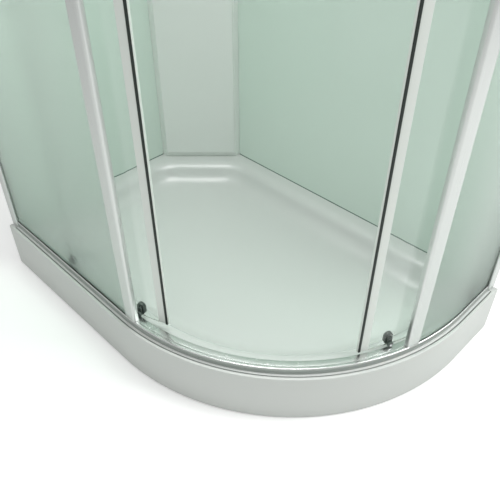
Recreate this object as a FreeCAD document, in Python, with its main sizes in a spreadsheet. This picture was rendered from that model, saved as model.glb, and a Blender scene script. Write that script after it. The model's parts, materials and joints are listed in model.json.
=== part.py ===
import FreeCAD, Part
import math
import os
import Sketcher

# Offset quadrant shower enclosure, millimetres, +Z up.
# Origin: the middle of the plan at floor level. The long glass back wall runs along X at +Y, the short
# side wall along Y at -X, and the curved front faces +X -Y. "Inset" is the distance inwards from the
# tray's outline.

Vector = FreeCAD.Vector

SIZES = {
    # tray and its outline
    "tray_length": 1200, "tray_width": 800, "front_straight": 170, "rim_level": 150,
    "skirt_thickness": 5, "skirt_lip": 8, "skirt_lip_thickness": 5, "skirt_round": 3,
    "skirt_floor_gap": 3, "skirt_end_tab": 22, "shadow_gap": 3,
    "front_rim": 66, "wall_rim": 46, "corner_rim": 46,
    "basin_depth": 52, "basin_slope": 62, "basin_wall": 5,
    "corner_round": 40, "slope_round": 14, "floor_round": 20,
    # support under the tray
    "board_thickness": 12, "board_margin": 10, "tube_size": 25, "tube_wall": 2, "frame_edge": 60,
    "frame_middle": -60, "frame_right_gap": 168, "frame_bend": 72, "frame_turn_rise": 207,
    "stud_radius": 5, "thread_play": 0.05, "stud_foot_depth": 5, "stud_top_gap": 4,
    "nut_width": 17, "nut_height": 8, "foot_radius": 25, "foot_height": 12,
    "bracket_width": 30, "bracket_height": 45, "bracket_start": 12, "bracket_spread": 66,
    # waste
    "drain_side_gap": 176, "drain_front_gap": 195, "drain_hole_radius": 45, "flange_radius": 56,
    "flange_height": 3, "cover_radius": 50, "cover_height": 7, "cover_stem_radius": 6,
    "cover_stem_length": 12, "trap_radius": 52, "trap_height": 78,
    "outlet_radius": 20, "outlet_length": 85, "outlet_wall": 2.5, "outlet_collar": 2,
    "outlet_collar_length": 25,
    # glass and heights
    "wall_glass": 4, "wall_glass_inset": 1.5, "fixed_glass": 4, "fixed_glass_inset": 20.5,
    "door_glass": 4, "door_glass_inset": 44, "glass_seat": 0.3, "total_height": 2000,
    # bottom and top rails
    "rail_inset": 16.5, "rail_depth": 26.5, "rail_height": 18, "channel_side": 1.1, "channel_floor": 4,
    "rail_wall": 2, "rail_round": 2.6, "rail_inner_round": 1.5, "infill_drop": 0.6, "infill_margin": 0.3,
    "head_height": 44, "head_bite": 12, "shelf_drop": 27, "shelf_depth": 15.2, "head_wall": 3,
    "hood_depth": 34, "strip_floor": 2, "strip_stand": 0.6,
    # posts and wall profiles
    "post_width": 34, "post_inset": 17.2, "post_depth": 15.8, "post_round": 6.5, "post_small_round": 2,
    "post_bite": 12, "left_post_angle": 87.1, "right_post_angle": 17,
    "profile_width": 28, "profile_depth": 28, "profile_inset": 13, "profile_bite": 12, "wall_bite": 7,
    "slot_play": 0.4, "profile_round": 5, "profile_hole_radius": 2.75, "profile_first_hole": 150,
    "profile_last_hole": 100, "hole_glass_gap": 4.8,
    "screw_radius": 2.2, "screw_head_radius": 4, "screw_head": 2.2, "screw_length": 9,
    "first_screw_level": 50, "screw_edge_gap": 6,
    # corner column
    "column_reach": 200.2, "column_face": 222, "column_wall": 4.2,
    "plate_half_width": 123, "plate_thickness": 8.5, "plate_start": 16, "plate_round": 5,
    "channel_cap_height": 16, "channel_cap_wall": 1.5,
    # doors, measured along the arc from the line where the two doors meet
    "meeting_angle": 54.1, "meeting_gap": 0.6, "lip_width": 2, "lip_depth": 7, "magnet_width": 6,
    "magnet_depth": 10, "carrier_width": 20, "carrier_wall": 1.3, "carrier_bite": 16, "groove_play": 0.1,
    "door_arc": 438, "front_roller_arc": 84, "roller_spacing_arc": 306, "door_bottom": 171,
    "door_head_gap": 15, "drip_drop": 2.3, "open_inset_shift": 2.5, "left_open_angle": 86.4,
    "right_open_angle": 22.1,
    # rollers
    "wheel_width": 5, "bottom_wheel_radius": 8, "top_wheel_radius": 9, "wheel_gap": 0.2,
    "bottom_wheel_offset": 8.3, "top_wheel_offset": 7.8,
    "pin_radius": 2, "pin_play": 0.06, "pin_head_radius": 3.6, "pin_head": 1,
    "body_width": 22, "body_height": 36, "body_depth": 10.8, "body_start": 168.5, "clamp_level": 190,
    "stem_radius": 4, "glass_hole_radius": 5, "arm_width": 13, "arm_depth": 3.2, "arm_start": 169.4,
    "clamp_play": 0.2, "button_radius": 5, "button_height": 8, "button_stand": 2.2, "button_play": 0.3,
    "button_travel": 1.8, "button_round": 0.8,
    "hanger_width": 16, "hanger_drop": 34, "hanger_hole_drop": 18, "hanger_cheek": 3.5, "hanger_head": 6,
    # handles and stops
    "handle_arc": 46, "handle_middle": 1200, "handle_length": 280, "handle_radius": 7,
    "handle_stand": 27, "handle_spread": 200, "handle_boss_radius": 5, "handle_cap_radius": 10,
    "handle_cap": 5, "handle_hole_radius": 6,
    "stop_length": 12, "stop_height": 12, "stop_depth": 9, "stop_gap": 1,
}

doc = FreeCAD.newDocument("quadrant_shower_enclosure")
sheet = doc.addObject("Spreadsheet::Sheet", "sizes")
for row, (alias, number) in enumerate(SIZES.items(), start=1):
    sheet.set("A%d" % row, alias)
    sheet.set("B%d" % row, str(number))
    sheet.setAlias("B%d" % row, alias)
doc.recompute()


class Size:
    """A length with its value and its formula, so that one sum feeds both a shape and an expression."""

    def __init__(self, value, text):
        self.value = float(value)
        self.text = text

    def combine(self, other, sign, swap=False):
        other = as_size(other)
        first, second = (other, self) if swap else (self, other)
        results = {
            "+": first.value + second.value,
            "-": first.value - second.value,
            "*": first.value * second.value,
            "/": first.value / second.value if second.value else 0.0,
        }
        return Size(results[sign], "(%s %s %s)" % (first.text, sign, second.text))

    def __add__(self, other):
        return self.combine(other, "+")

    def __radd__(self, other):
        return self.combine(other, "+", swap=True)

    def __sub__(self, other):
        return self.combine(other, "-")

    def __rsub__(self, other):
        return self.combine(other, "-", swap=True)

    def __mul__(self, other):
        return self.combine(other, "*")

    def __rmul__(self, other):
        return self.combine(other, "*", swap=True)

    def __truediv__(self, other):
        return self.combine(other, "/")

    def __neg__(self):
        return self * -1

    def __float__(self):
        return self.value


def as_size(number):
    return number if isinstance(number, Size) else Size(number, "(%r)" % float(number))


def cell(alias):
    """A driving dimension from the sheet."""
    return Size(sheet.get(alias), "sizes.%s" % alias)


def bind(item, path, size):
    """Set a property, or part of one, from a size's formula."""
    item.setExpression(path, as_size(size).text)


# ---- sketches, pads and other features ----

def new_body(name):
    body = doc.addObject("PartDesign::Body", name)
    body.Label = name
    return body


def origin_plane(body, role):
    return [item for item in body.Origin.OriginFeatures if item.Role == role][0]


def new_sketch(body, name, role="XY_Plane", offset=0):
    """A sketch on one of the body's planes, moved along that plane's normal."""
    sketch = body.newObject("Sketcher::SketchObject", name)
    sketch.AttachmentSupport = [(origin_plane(body, role), "")]
    sketch.MapMode = "FlatFace"
    sketch.AttachmentOffset = FreeCAD.Placement(Vector(0, 0, float(offset)), FreeCAD.Rotation())
    if isinstance(offset, Size):
        bind(sketch, "AttachmentOffset.Base.z", offset)
    return sketch


def pin_point(sketch, geometry, position, point):
    """Fix a sketch point at a place given by two sizes."""
    for kind, axis, size in (("DistanceX", -2, point[0]), ("DistanceY", -1, point[1])):
        if not isinstance(size, Size) and size == 0:
            sketch.addConstraint(Sketcher.Constraint("PointOnObject", geometry, position, axis))
            continue
        rule = Sketcher.Constraint(kind, -1, 1, geometry, position, float(size))
        index = sketch.addConstraint(rule)
        if isinstance(size, Size):
            bind(sketch, "Constraints[%d]" % index, size)


def draw_polygon(sketch, points):
    """A closed outline through the points, each bound to its own two sizes."""
    first = sketch.GeometryCount
    corners = [Vector(float(x), float(y), 0) for x, y in points]
    count = len(corners)
    for index in range(count):
        line = Part.LineSegment(corners[index], corners[(index + 1) % count])
        sketch.addGeometry(line, False)
    for index in range(count):
        following = first + (index + 1) % count
        sketch.addConstraint(Sketcher.Constraint("Coincident", first + index, 2, following, 1))
    for index, point in enumerate(points):
        pin_point(sketch, first + index, 1, point)


def draw_box(sketch, left, low, right, high):
    draw_polygon(sketch, [(left, low), (right, low), (right, high), (left, high)])


def draw_circle(sketch, centre, radius):
    index = sketch.addGeometry(Part.Circle(Vector(float(centre[0]), float(centre[1]), 0),
                                           Vector(0, 0, 1), float(radius)), False)
    pin_point(sketch, index, 3, centre)
    rule = sketch.addConstraint(Sketcher.Constraint("Radius", index, float(radius)))
    if isinstance(radius, Size):
        bind(sketch, "Constraints[%d]" % rule, radius)


def draw_slot(sketch, middle, low, high, radius):
    """An upright oval: two half circles of one radius joined by straight sides."""
    low_centre = Vector(float(middle), float(low), 0)
    high_centre = Vector(float(middle), float(high), 0)
    side = Vector(float(radius), 0, 0)
    normal = Vector(0, 0, 1)
    bottom = sketch.addGeometry(Part.ArcOfCircle(Part.Circle(low_centre, normal, float(radius)),
                                                 math.pi, 2 * math.pi), False)
    right = sketch.addGeometry(Part.LineSegment(low_centre + side, high_centre + side), False)
    top = sketch.addGeometry(Part.ArcOfCircle(Part.Circle(high_centre, normal, float(radius)),
                                              0, math.pi), False)
    left = sketch.addGeometry(Part.LineSegment(high_centre - side, low_centre - side), False)
    for one, end, other, start in ((bottom, 2, right, 1), (right, 2, top, 1),
                                   (top, 2, left, 1), (left, 2, bottom, 1)):
        sketch.addConstraint(Sketcher.Constraint("Tangent", one, end, other, start))
    pin_point(sketch, bottom, 3, (middle, low))
    rule = sketch.addConstraint(Sketcher.Constraint("DistanceY", -1, 1, top, 3, float(high)))
    if isinstance(high, Size):
        bind(sketch, "Constraints[%d]" % rule, high)
    rule = sketch.addConstraint(Sketcher.Constraint("Radius", bottom, float(radius)))
    if isinstance(radius, Size):
        bind(sketch, "Constraints[%d]" % rule, radius)


def pad(body, sketch, length, name="pad", back=False):
    feature = body.newObject("PartDesign::Pad", name)
    feature.Profile = sketch
    feature.Length = float(length)
    feature.Reversed = back
    if isinstance(length, Size):
        bind(feature, "Length", length)
    return feature


def pocket(body, sketch, length, name="pocket", back=False):
    feature = body.newObject("PartDesign::Pocket", name)
    feature.Profile = sketch
    feature.Length = float(length)
    feature.Reversed = back
    if isinstance(length, Size):
        bind(feature, "Length", length)
    return feature


def revolve(body, sketch, angle=360, name="turned", back=False):
    feature = body.newObject("PartDesign::Revolution", name)
    feature.Profile = sketch
    feature.ReferenceAxis = (sketch, ["V_Axis"])
    feature.Angle = float(angle)
    feature.Reversed = back
    if isinstance(angle, Size):
        bind(feature, "Angle", angle)
    return feature


def loft(body, kind, lower, upper, name):
    feature = body.newObject("PartDesign::%s" % kind, name)
    feature.Profile = lower
    feature.Sections = [upper]
    feature.Ruled = True
    return feature


def round_edges(body, base, radius, chosen, name="rounded"):
    """Fillet the base feature's edges whose middle point passes the test."""
    doc.recompute()
    names = []
    for index, edge in enumerate(base.Shape.Edges, start=1):
        middle = edge.valueAt((edge.FirstParameter + edge.LastParameter) / 2)
        if chosen(middle, edge):
            names.append("Edge%d" % index)
    if not names:
        raise RuntimeError("%s: no edge to round" % body.Label)
    feature = body.newObject("PartDesign::Fillet", name)
    feature.Base = (base, names)
    feature.Radius = float(radius)
    if isinstance(radius, Size):
        bind(feature, "Radius", radius)
    return feature


def upright(edge):
    span = edge.BoundBox
    return span.ZLength > 1 and span.XLength < 0.01 and span.YLength < 0.01


def near(one, other, gap=0.05):
    return abs(one - float(other)) < gap


# ---- the plan: outline, insets and angles ----

LENGTH = cell("tray_length")
WIDTH = cell("tray_width")
RADIUS = WIDTH - cell("front_straight")
EAST = LENGTH / 2
WEST = -EAST
NORTH = WIDTH / 2
SOUTH = -NORTH
CENTRE_X = EAST - RADIUS
CENTRE_Y = RADIUS - NORTH
RIM = cell("rim_level")
TOP = cell("total_height")
SLANT = math.sqrt(2)


def inset_of(point, centred=False):
    """Distance inwards from the front outline of a plan point, or of one measured from the arc's centre."""
    across = point.x - (0 if centred else float(CENTRE_X))
    along = point.y - (0 if centred else float(CENTRE_Y))
    if across > 0 and along < 0:
        return float(RADIUS) - math.hypot(across, along)
    if across <= 0:
        return float(RADIUS) + along
    return float(RADIUS) - across


def draw_quadrant(sketch, wall, front, corner=None):
    """The tray's plan, drawn in from the walls and the front, with its wall corner cut off at 45 degrees."""
    level = SOUTH + front
    right = EAST - front
    back = NORTH - wall
    left = WEST + wall
    points = [(left, level), (CENTRE_X, level), (right, CENTRE_Y), (right, back)]
    if corner is None:
        points.append((left, back))
    else:
        points.append((WEST + corner - wall, back))
        points.append((left, NORTH - corner + wall))
    spots = [Vector(float(x), float(y), 0) for x, y in points]
    centre = Vector(float(CENTRE_X), float(CENTRE_Y), 0)
    circle = Part.Circle(centre, Vector(0, 0, 1), float(RADIUS - front))
    items = []
    for index, spot in enumerate(spots):
        following = spots[(index + 1) % len(spots)]
        shape = Part.LineSegment(spot, following)
        if index == 1:
            shape = Part.ArcOfCircle(circle, -math.pi / 2, 0)
        items.append(sketch.addGeometry(shape, False))
    for index, item in enumerate(items):
        following = items[(index + 1) % len(items)]
        sketch.addConstraint(Sketcher.Constraint("Coincident", item, 2, following, 1))
    pin_point(sketch, items[1], 3, (CENTRE_X, CENTRE_Y))
    for index, point in enumerate(points):
        if index == 2:
            rule = sketch.addConstraint(Sketcher.Constraint("DistanceY", -1, 1, items[2], 1, float(point[1])))
            bind(sketch, "Constraints[%d]" % rule, point[1])
        else:
            pin_point(sketch, items[index], 1, point)


def place(body, across=0, along=0, up=0, turn=0):
    """Place a body by its origin; lengths follow the sheet by formula, the turn about Z is set here."""
    spot = Vector(float(across), float(along), float(up))
    body.Placement = FreeCAD.Placement(spot, FreeCAD.Rotation(Vector(0, 0, 1), float(turn)))
    for path, size in (("x", across), ("y", along), ("z", up)):
        if isinstance(size, Size):
            bind(body, "Placement.Base.%s" % path, size)


def spread_angle(arc, radius):
    """Degrees that an arc length takes at a radius."""
    return as_size(arc) / radius * (180 / math.pi)


def arc_piece(body, outline, span, name="turned"):
    """Revolve an outline of (radius, height) points from the body's +X towards +Y through the span."""
    sketch = new_sketch(body, name + "_outline", "XZ_Plane")
    draw_polygon(sketch, outline)
    return revolve(body, sketch, span, name)


def front_piece(body, outline, left_run, right_run):
    """Carry an outline of (inset, height) points along the whole front: straight, round the arc, straight.

    The body's origin is the arc's centre; the runs are the lengths of the two straight parts.
    """
    place(body, CENTRE_X, CENTRE_Y)
    sketch = new_sketch(body, "left_outline", "YZ_Plane")
    draw_polygon(sketch, [(inset - RADIUS, level) for inset, level in outline])
    pad(body, sketch, left_run, "left_straight", back=True)
    revolve(body, sketch, 90, "front_arc")
    sketch = new_sketch(body, "right_outline", "XZ_Plane")
    draw_polygon(sketch, [(RADIUS - inset, level) for inset, level in outline])
    return pad(body, sketch, right_run, "right_straight", back=True)


# ---- tray ----

basin_floor = RIM - cell("basin_depth")
basin_under = basin_floor - cell("basin_wall")
tray_front = cell("skirt_lip") + cell("shadow_gap")
wall_rim = cell("wall_rim")
front_rim = cell("front_rim")
slope = cell("basin_slope")
basin_corner = cell("column_face") + cell("corner_rim") * SLANT
drain_x = WEST + cell("drain_side_gap")
drain_y = SOUTH + cell("drain_front_gap")

tray = new_body("tray_basin")
sketch = new_sketch(tray, "rim_plan", offset=RIM)
draw_quadrant(sketch, as_size(0), tray_front)
pad(tray, sketch, cell("basin_depth") + cell("basin_wall"), "slab", back=True)
upper = new_sketch(tray, "hollow_top", offset=RIM)
draw_quadrant(upper, wall_rim, front_rim, basin_corner)
lower = new_sketch(tray, "hollow_bottom", offset=basin_floor)
draw_quadrant(lower, wall_rim + slope, front_rim + slope, basin_corner + slope * SLANT)
hollow = loft(tray, "SubtractiveLoft", upper, lower, "hollow")
doc.recompute()


def slope_corner(middle, edge):
    """An edge between two slopes of the basin, running from the floor up to the rim."""
    span = edge.BoundBox
    return near(span.ZMin, basin_floor) and near(span.ZMax, RIM)


def basin_brim(middle, edge):
    return near(middle.z, RIM) and inset_of(middle) > float(front_rim) - 1 and \
        middle.x > float(WEST) + 20 and middle.y < float(NORTH) - 20


def basin_foot(middle, edge):
    return near(middle.z, basin_floor) and edge.BoundBox.ZLength < 0.01


corners = round_edges(tray, hollow, cell("corner_round"), slope_corner, "slope_corners")
foot = round_edges(tray, corners, cell("floor_round"), basin_foot, "floor_edges")
brim = round_edges(tray, foot, cell("slope_round"), basin_brim, "brim_edges")
doc.recompute()
sketch = new_sketch(tray, "drain_plan", offset=basin_floor + 1)
draw_circle(sketch, (drain_x, drain_y), cell("drain_hole_radius"))
pocket(tray, sketch, cell("basin_wall") + 2, "drain_hole")

apron = new_body("apron_panel")
skirt = cell("skirt_thickness")
lip = cell("skirt_lip")
foot_level = cell("skirt_floor_gap")
lip_under = RIM - cell("skirt_lip_thickness")
outline = [(0, foot_level), (skirt, foot_level), (skirt, lip_under), (lip, lip_under), (lip, RIM), (0, RIM)]
left_run = CENTRE_X - WEST
right_run = NORTH - CENTRE_Y
bent = front_piece(apron, outline, left_run, right_run)
rolled = round_edges(apron, bent, cell("skirt_round"),
                     lambda middle, edge: near(middle.z, RIM) and near(inset_of(middle, True), 0),
                     "rolled_edge")
sketch = new_sketch(apron, "end_tabs", offset=RIM)
tab = cell("skirt_end_tab")
draw_box(sketch, -left_run, lip - RADIUS, tab - left_run, tray_front - RADIUS)
draw_box(sketch, RADIUS - tray_front, right_run - tab, RADIUS - lip, right_run)
pad(apron, sketch, cell("skirt_lip_thickness"), "tabs", back=True)

brackets = new_body("apron_brackets")
bracket_top = lip_under
bracket_low = lip_under - cell("bracket_height")
bracket_width = cell("bracket_width")
rows = [(RADIUS - tray_front, bracket_low), (RADIUS - skirt, bracket_low),
        (RADIUS - skirt, bracket_top), (RADIUS - tray_front, bracket_top)]
first_bracket = cell("bracket_start")
place(brackets, CENTRE_X, CENTRE_Y, 0, -90 + float(first_bracket))
piece = arc_piece(brackets, rows, spread_angle(bracket_width, RADIUS), "bracket")
pattern = brackets.newObject("PartDesign::PolarPattern", "along_the_curve")
pattern.Originals = [piece]
pattern.Axis = (origin_plane(brackets, "Z_Axis"), [""])
pattern.Angle = 60
bind(pattern, "Angle", cell("bracket_spread"))
pattern.Occurrences = 4
brackets.Tip = pattern

board = new_body("base_board")
sketch = new_sketch(board, "board_plan", offset=basin_under)
reach = slope - cell("basin_wall")
margin = cell("board_margin")
draw_quadrant(sketch, wall_rim + reach + margin, front_rim + reach + margin,
              basin_corner + (reach + margin) * SLANT)
draw_circle(sketch, (drain_x, drain_y), cell("trap_radius") + cell("glass_seat"))
pad(board, sketch, cell("board_thickness"), "board", back=True)

# ---- support frame and legs ----

frame_top = basin_under - cell("board_thickness")
frame_low = frame_top - cell("tube_size")
tube = cell("tube_size")
sheet_metal = cell("tube_wall")
frame_left = WEST + cell("frame_edge")
frame_back = NORTH - cell("frame_edge")
frame_front = SOUTH + cell("frame_edge")
frame_middle = cell("frame_middle")
frame_right = EAST - cell("frame_right_gap")
frame_bend = cell("frame_bend")
frame_turn = frame_front + cell("frame_turn_rise")


slope_angle = math.atan2(float(frame_turn - frame_front), float(frame_right - frame_bend))
bend_share = math.tan(slope_angle / 2)
turn_share = 1 / math.cos(slope_angle) - math.tan(slope_angle)


def frame_outline(edge):
    """The frame's outer edge, moved inwards; the slanting front tube keeps its own width."""
    low = frame_front + edge
    return [(frame_left + edge, low), (frame_bend - edge * bend_share, low),
            (frame_right - edge, frame_turn + edge * turn_share),
            (frame_right - edge, frame_back - edge), (frame_left + edge, frame_back - edge)]


def frame_bay(sketch, edge):
    """The two open bays between the tubes, made smaller on every side by the edge."""
    inner = tube + edge
    low = frame_front + inner
    high = frame_back - inner
    half = tube / 2 + edge
    draw_box(sketch, frame_left + inner, low, frame_middle - half, high)
    draw_polygon(sketch, [(frame_middle + half, low), (frame_bend - inner * bend_share, low),
                          (frame_right - inner, frame_turn + inner * turn_share),
                          (frame_right - inner, high), (frame_middle + half, high)])


frame = new_body("support_frame")
sketch = new_sketch(frame, "frame_plan", offset=frame_low)
draw_polygon(sketch, frame_outline(as_size(0)))
frame_bay(sketch, as_size(0))
pad(frame, sketch, tube, "tubes")
sketch = new_sketch(frame, "trough_plan", offset=frame_top)
draw_polygon(sketch, frame_outline(sheet_metal))
frame_bay(sketch, -sheet_metal)
pocket(frame, sketch, tube - sheet_metal, "troughs")

legs = [
    (frame_left + tube / 2, frame_front + tube / 2),
    (frame_left + tube / 2, frame_back - tube / 2),
    (frame_middle, frame_front + tube / 2),
    (frame_middle, as_size(0)),
    (frame_middle, frame_back - tube / 2),
    (frame_right - tube / 2, frame_back - tube / 2),
    (frame_right - tube / 2, frame_turn + tube),
]
sketch = new_sketch(frame, "stud_holes", offset=frame_low + sheet_metal)
for spot in legs:
    draw_circle(sketch, spot, cell("stud_radius") + cell("thread_play"))
pocket(frame, sketch, sheet_metal, "holes")

studs = new_body("leg_studs")
sketch = new_sketch(studs, "stud_plan", offset=cell("foot_height") - cell("stud_foot_depth"))
for spot in legs:
    draw_circle(sketch, spot, cell("stud_radius"))
pad(studs, sketch, frame_top - cell("foot_height") + cell("stud_foot_depth") - cell("stud_top_gap"), "rods")

nuts = new_body("leg_nuts")
sketch = new_sketch(nuts, "nut_plan", offset=frame_low)
corner = cell("nut_width") / math.sqrt(3)
for spot_x, spot_y in legs:
    flat = cell("nut_width") / 2
    draw_polygon(sketch, [(spot_x + corner, spot_y), (spot_x + corner / 2, spot_y + flat),
                          (spot_x - corner / 2, spot_y + flat), (spot_x - corner, spot_y),
                          (spot_x - corner / 2, spot_y - flat), (spot_x + corner / 2, spot_y - flat)])
    draw_circle(sketch, (spot_x, spot_y), cell("stud_radius") + cell("thread_play"))
pad(nuts, sketch, cell("nut_height"), "nuts", back=True)

feet = new_body("leg_feet")
sketch = new_sketch(feet, "foot_plan")
for spot in legs:
    draw_circle(sketch, spot, cell("foot_radius"))
pad(feet, sketch, cell("foot_height") / 2, "discs")
sketch = new_sketch(feet, "boss_plan", offset=cell("foot_height") / 2)
for spot in legs:
    draw_circle(sketch, spot, cell("foot_radius") / 2)
pad(feet, sketch, cell("foot_height") / 2, "bosses")
sketch = new_sketch(feet, "socket_plan", offset=cell("foot_height"))
for spot in legs:
    draw_circle(sketch, spot, cell("stud_radius") + cell("thread_play"))
pocket(feet, sketch, cell("stud_foot_depth"), "sockets")

# ---- waste ----

flange = new_body("waste_flange")
place(flange, drain_x, drain_y, basin_floor)
neck = cell("drain_hole_radius") - cell("glass_seat")
bore = neck - cell("outlet_wall")
trap_top = frame_top - basin_floor
arc_piece(flange, [(bore, 0), (bore, trap_top), (neck, trap_top), (neck, as_size(0)),
                   (cell("flange_radius"), as_size(0)), (cell("flange_radius"), cell("flange_height") / 2),
                   (cell("flange_radius") - 4, cell("flange_height")), (bore, cell("flange_height"))],
          360, "flange")

trap = new_body("waste_trap")
trap_low = frame_top - cell("trap_height")
place(trap, drain_x, drain_y, trap_low, 90)
trap_wall = cell("outlet_wall")
trap_reach = cell("trap_radius")
trap_height = cell("trap_height")
arc_piece(trap, [(0, 0), (trap_reach, 0), (trap_reach, trap_height + cell("board_thickness")),
                 (neck + cell("glass_seat"), trap_height + cell("board_thickness")),
                 (neck + cell("glass_seat"), trap_height - 6), (trap_reach - trap_wall, trap_height - 6),
                 (trap_reach - trap_wall, trap_wall), (0, trap_wall)], 360, "cup")
outlet_level = cell("outlet_radius") + trap_wall
outlet_end = trap_reach + cell("outlet_length")
sketch = new_sketch(trap, "outlet_plan", "YZ_Plane", trap_reach - trap_wall * 2)
draw_circle(sketch, (0, outlet_level), cell("outlet_radius"))
pad(trap, sketch, cell("outlet_length") + trap_wall * 2, "outlet")
sketch = new_sketch(trap, "collar_plan", "YZ_Plane", trap_reach - trap_wall * 2)
draw_circle(sketch, (0, outlet_level), cell("outlet_radius") + cell("outlet_collar"))
pad(trap, sketch, cell("outlet_collar_length") + trap_wall * 2, "collar")
sketch = new_sketch(trap, "outlet_bore", "YZ_Plane", outlet_end)
draw_circle(sketch, (0, outlet_level), cell("outlet_radius") - trap_wall)
pocket(trap, sketch, cell("outlet_length") + trap_wall * 4, "bore")

cover = new_body("drain_cover")
place(cover, drain_x, drain_y, basin_floor + cell("flange_height"))
cover_radius = cell("cover_radius")
cover_height = cell("cover_height")
stem = cell("cover_stem_radius")
arc_piece(cover, [(0, 0 - cell("cover_stem_length")), (stem, 0 - cell("cover_stem_length")), (stem, 0),
                  (cover_radius - 3, 0), (cover_radius, 2), (cover_radius - 6, cover_height - 1),
                  (cover_radius - 16, cover_height), (0, cover_height)], 360, "lid")

# ---- glass walls, corner column and wall profiles ----

seat = cell("glass_seat")
reach_along = cell("column_reach")
face = cell("column_face")
column_wall = cell("column_wall")
wall_inset = cell("wall_glass_inset")
wall_glass = cell("wall_glass")
cap_wall = cell("channel_cap_wall")
profile_depth = cell("profile_depth")
profile_width = cell("profile_width")
profile_inset = cell("profile_inset")
profile_bite = cell("profile_bite")
play = cell("slot_play")
glass_top = TOP - cap_wall

column = new_body("corner_column")
sketch = new_sketch(column, "column_plan", offset=RIM)
side = face - reach_along
thin = face - column_wall * SLANT
inner_side = thin - reach_along + column_wall
draw_polygon(sketch, [(WEST + reach_along, NORTH), (WEST + reach_along, NORTH - side),
                      (WEST + side, NORTH - reach_along), (WEST, NORTH - reach_along),
                      (WEST, NORTH - reach_along + column_wall),
                      (WEST + inner_side, NORTH - reach_along + column_wall),
                      (WEST + reach_along - column_wall, NORTH - inner_side),
                      (WEST + reach_along - column_wall, NORTH)])
pad(column, sketch, TOP - RIM, "column")

plate = new_body("column_plate")
place(plate, WEST + face / 2, NORTH - face / 2, RIM + cell("plate_start"), 45)
sketch = new_sketch(plate, "plate_face", "XZ_Plane")
half = cell("plate_half_width")
draw_box(sketch, -half, 0, half, TOP - RIM - cell("plate_start") * 2)
block = pad(plate, sketch, cell("plate_thickness"), "block")
doc.recompute()
round_edges(plate, block, cell("plate_round"),
            lambda middle, edge: near(middle.y, -cell("plate_thickness")), "face_edges")

glass = new_body("back_wall_glass")
sketch = new_sketch(glass, "glass_plan", offset=RIM)
draw_box(sketch, WEST + reach_along + seat, NORTH - wall_inset - wall_glass,
         EAST - profile_inset - profile_depth + cell("wall_bite"), NORTH - wall_inset)
pad(glass, sketch, glass_top - RIM, "sheet")

glass = new_body("side_wall_glass")
sketch = new_sketch(glass, "glass_plan", offset=RIM)
draw_box(sketch, WEST + wall_inset, SOUTH + profile_inset + profile_depth - cell("wall_bite"),
         WEST + wall_inset + wall_glass, NORTH - reach_along - seat)
pad(glass, sketch, glass_top - RIM, "sheet")

cap_low = TOP - cell("channel_cap_height")
cap = new_body("back_top_channel")
cap_start = WEST + reach_along + seat
cap_length = EAST - profile_inset - profile_depth - seat - cap_start
place(cap, cap_start, NORTH - wall_inset - wall_glass / 2, cap_low)
sketch = new_sketch(cap, "cap_profile", "YZ_Plane")
half = wall_glass / 2
outer = half + cap_wall
cap_height = cell("channel_cap_height")
cap_outline = [(-outer, 0), (-half, 0), (-half, cap_height - cap_wall), (half, cap_height - cap_wall),
               (half, 0), (outer, 0), (outer, cap_height), (-outer, cap_height)]
draw_polygon(sketch, cap_outline)
pad(cap, sketch, cap_length, "cap")

cap = new_body("side_top_channel")
cap_start = SOUTH + profile_inset + profile_depth + seat
cap_length = NORTH - reach_along - seat - cap_start
place(cap, WEST + wall_inset + wall_glass / 2, cap_start, cap_low)
sketch = new_sketch(cap, "cap_profile", "XZ_Plane")
draw_polygon(sketch, cap_outline)
pad(cap, sketch, cap_length, "cap", back=True)

fixed_inset = cell("fixed_glass_inset")
fixed_glass = cell("fixed_glass")
hole_radius = cell("profile_hole_radius")
hole_level = RIM + cell("profile_first_hole")


left_profile = new_body("wall_profile_left")
right_profile = new_body("wall_profile_right")
for body, side in ((left_profile, 1), (right_profile, -1)):
    sketch = new_sketch(body, "profile_plan", offset=RIM)
    glass_low = fixed_inset - play
    glass_high = fixed_inset + fixed_glass + play
    far = profile_inset + profile_depth
    bite = profile_bite + seat
    thin_bite = cell("wall_bite") + seat
    thin_low = wall_inset - play
    thin_high = wall_inset + wall_glass + play
    corners = [(as_size(0), profile_inset), (profile_width, profile_inset), (profile_width, glass_low),
               (profile_width - bite, glass_low), (profile_width - bite, glass_high),
               (profile_width, glass_high), (profile_width, far), (thin_high, far),
               (thin_high, far - thin_bite), (thin_low, far - thin_bite), (thin_low, far), (as_size(0), far)]
    if side > 0:
        points = [(WEST + away, SOUTH + depth) for away, depth in corners]
    else:
        points = [(EAST - depth, NORTH - away) for away, depth in corners]
    draw_polygon(sketch, points)
    column_pad = pad(body, sketch, TOP - RIM, "column")
    doc.recompute()
    outer_edge = round_edges(body, column_pad, cell("profile_round"),
                             lambda middle, edge: upright(edge) and near(inset_of(middle), profile_inset)
                             and middle.x > float(WEST) + 1 and middle.y < float(NORTH) - 1, "front_edge")

# wall fixing holes, through the wide part of each profile into the building wall
hole_inset = fixed_inset + fixed_glass + cell("hole_glass_gap")
spacing = (TOP - hole_level - cell("profile_last_hole")) / 2
for body, side in ((left_profile, 1), (right_profile, -1)):
    role = "YZ_Plane" if side > 0 else "XZ_Plane"
    depth_to = WEST if side > 0 else 0 - NORTH
    sketch = new_sketch(body, "wall_holes", role, depth_to + (profile_width if side > 0 else 0))
    middle = SOUTH + hole_inset if side > 0 else EAST - hole_inset
    for step in range(3):
        draw_circle(sketch, (middle, hole_level + spacing * step), hole_radius)
    pocket(body, sketch, profile_width, "wall_holes_cut", back=side < 0)

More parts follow.
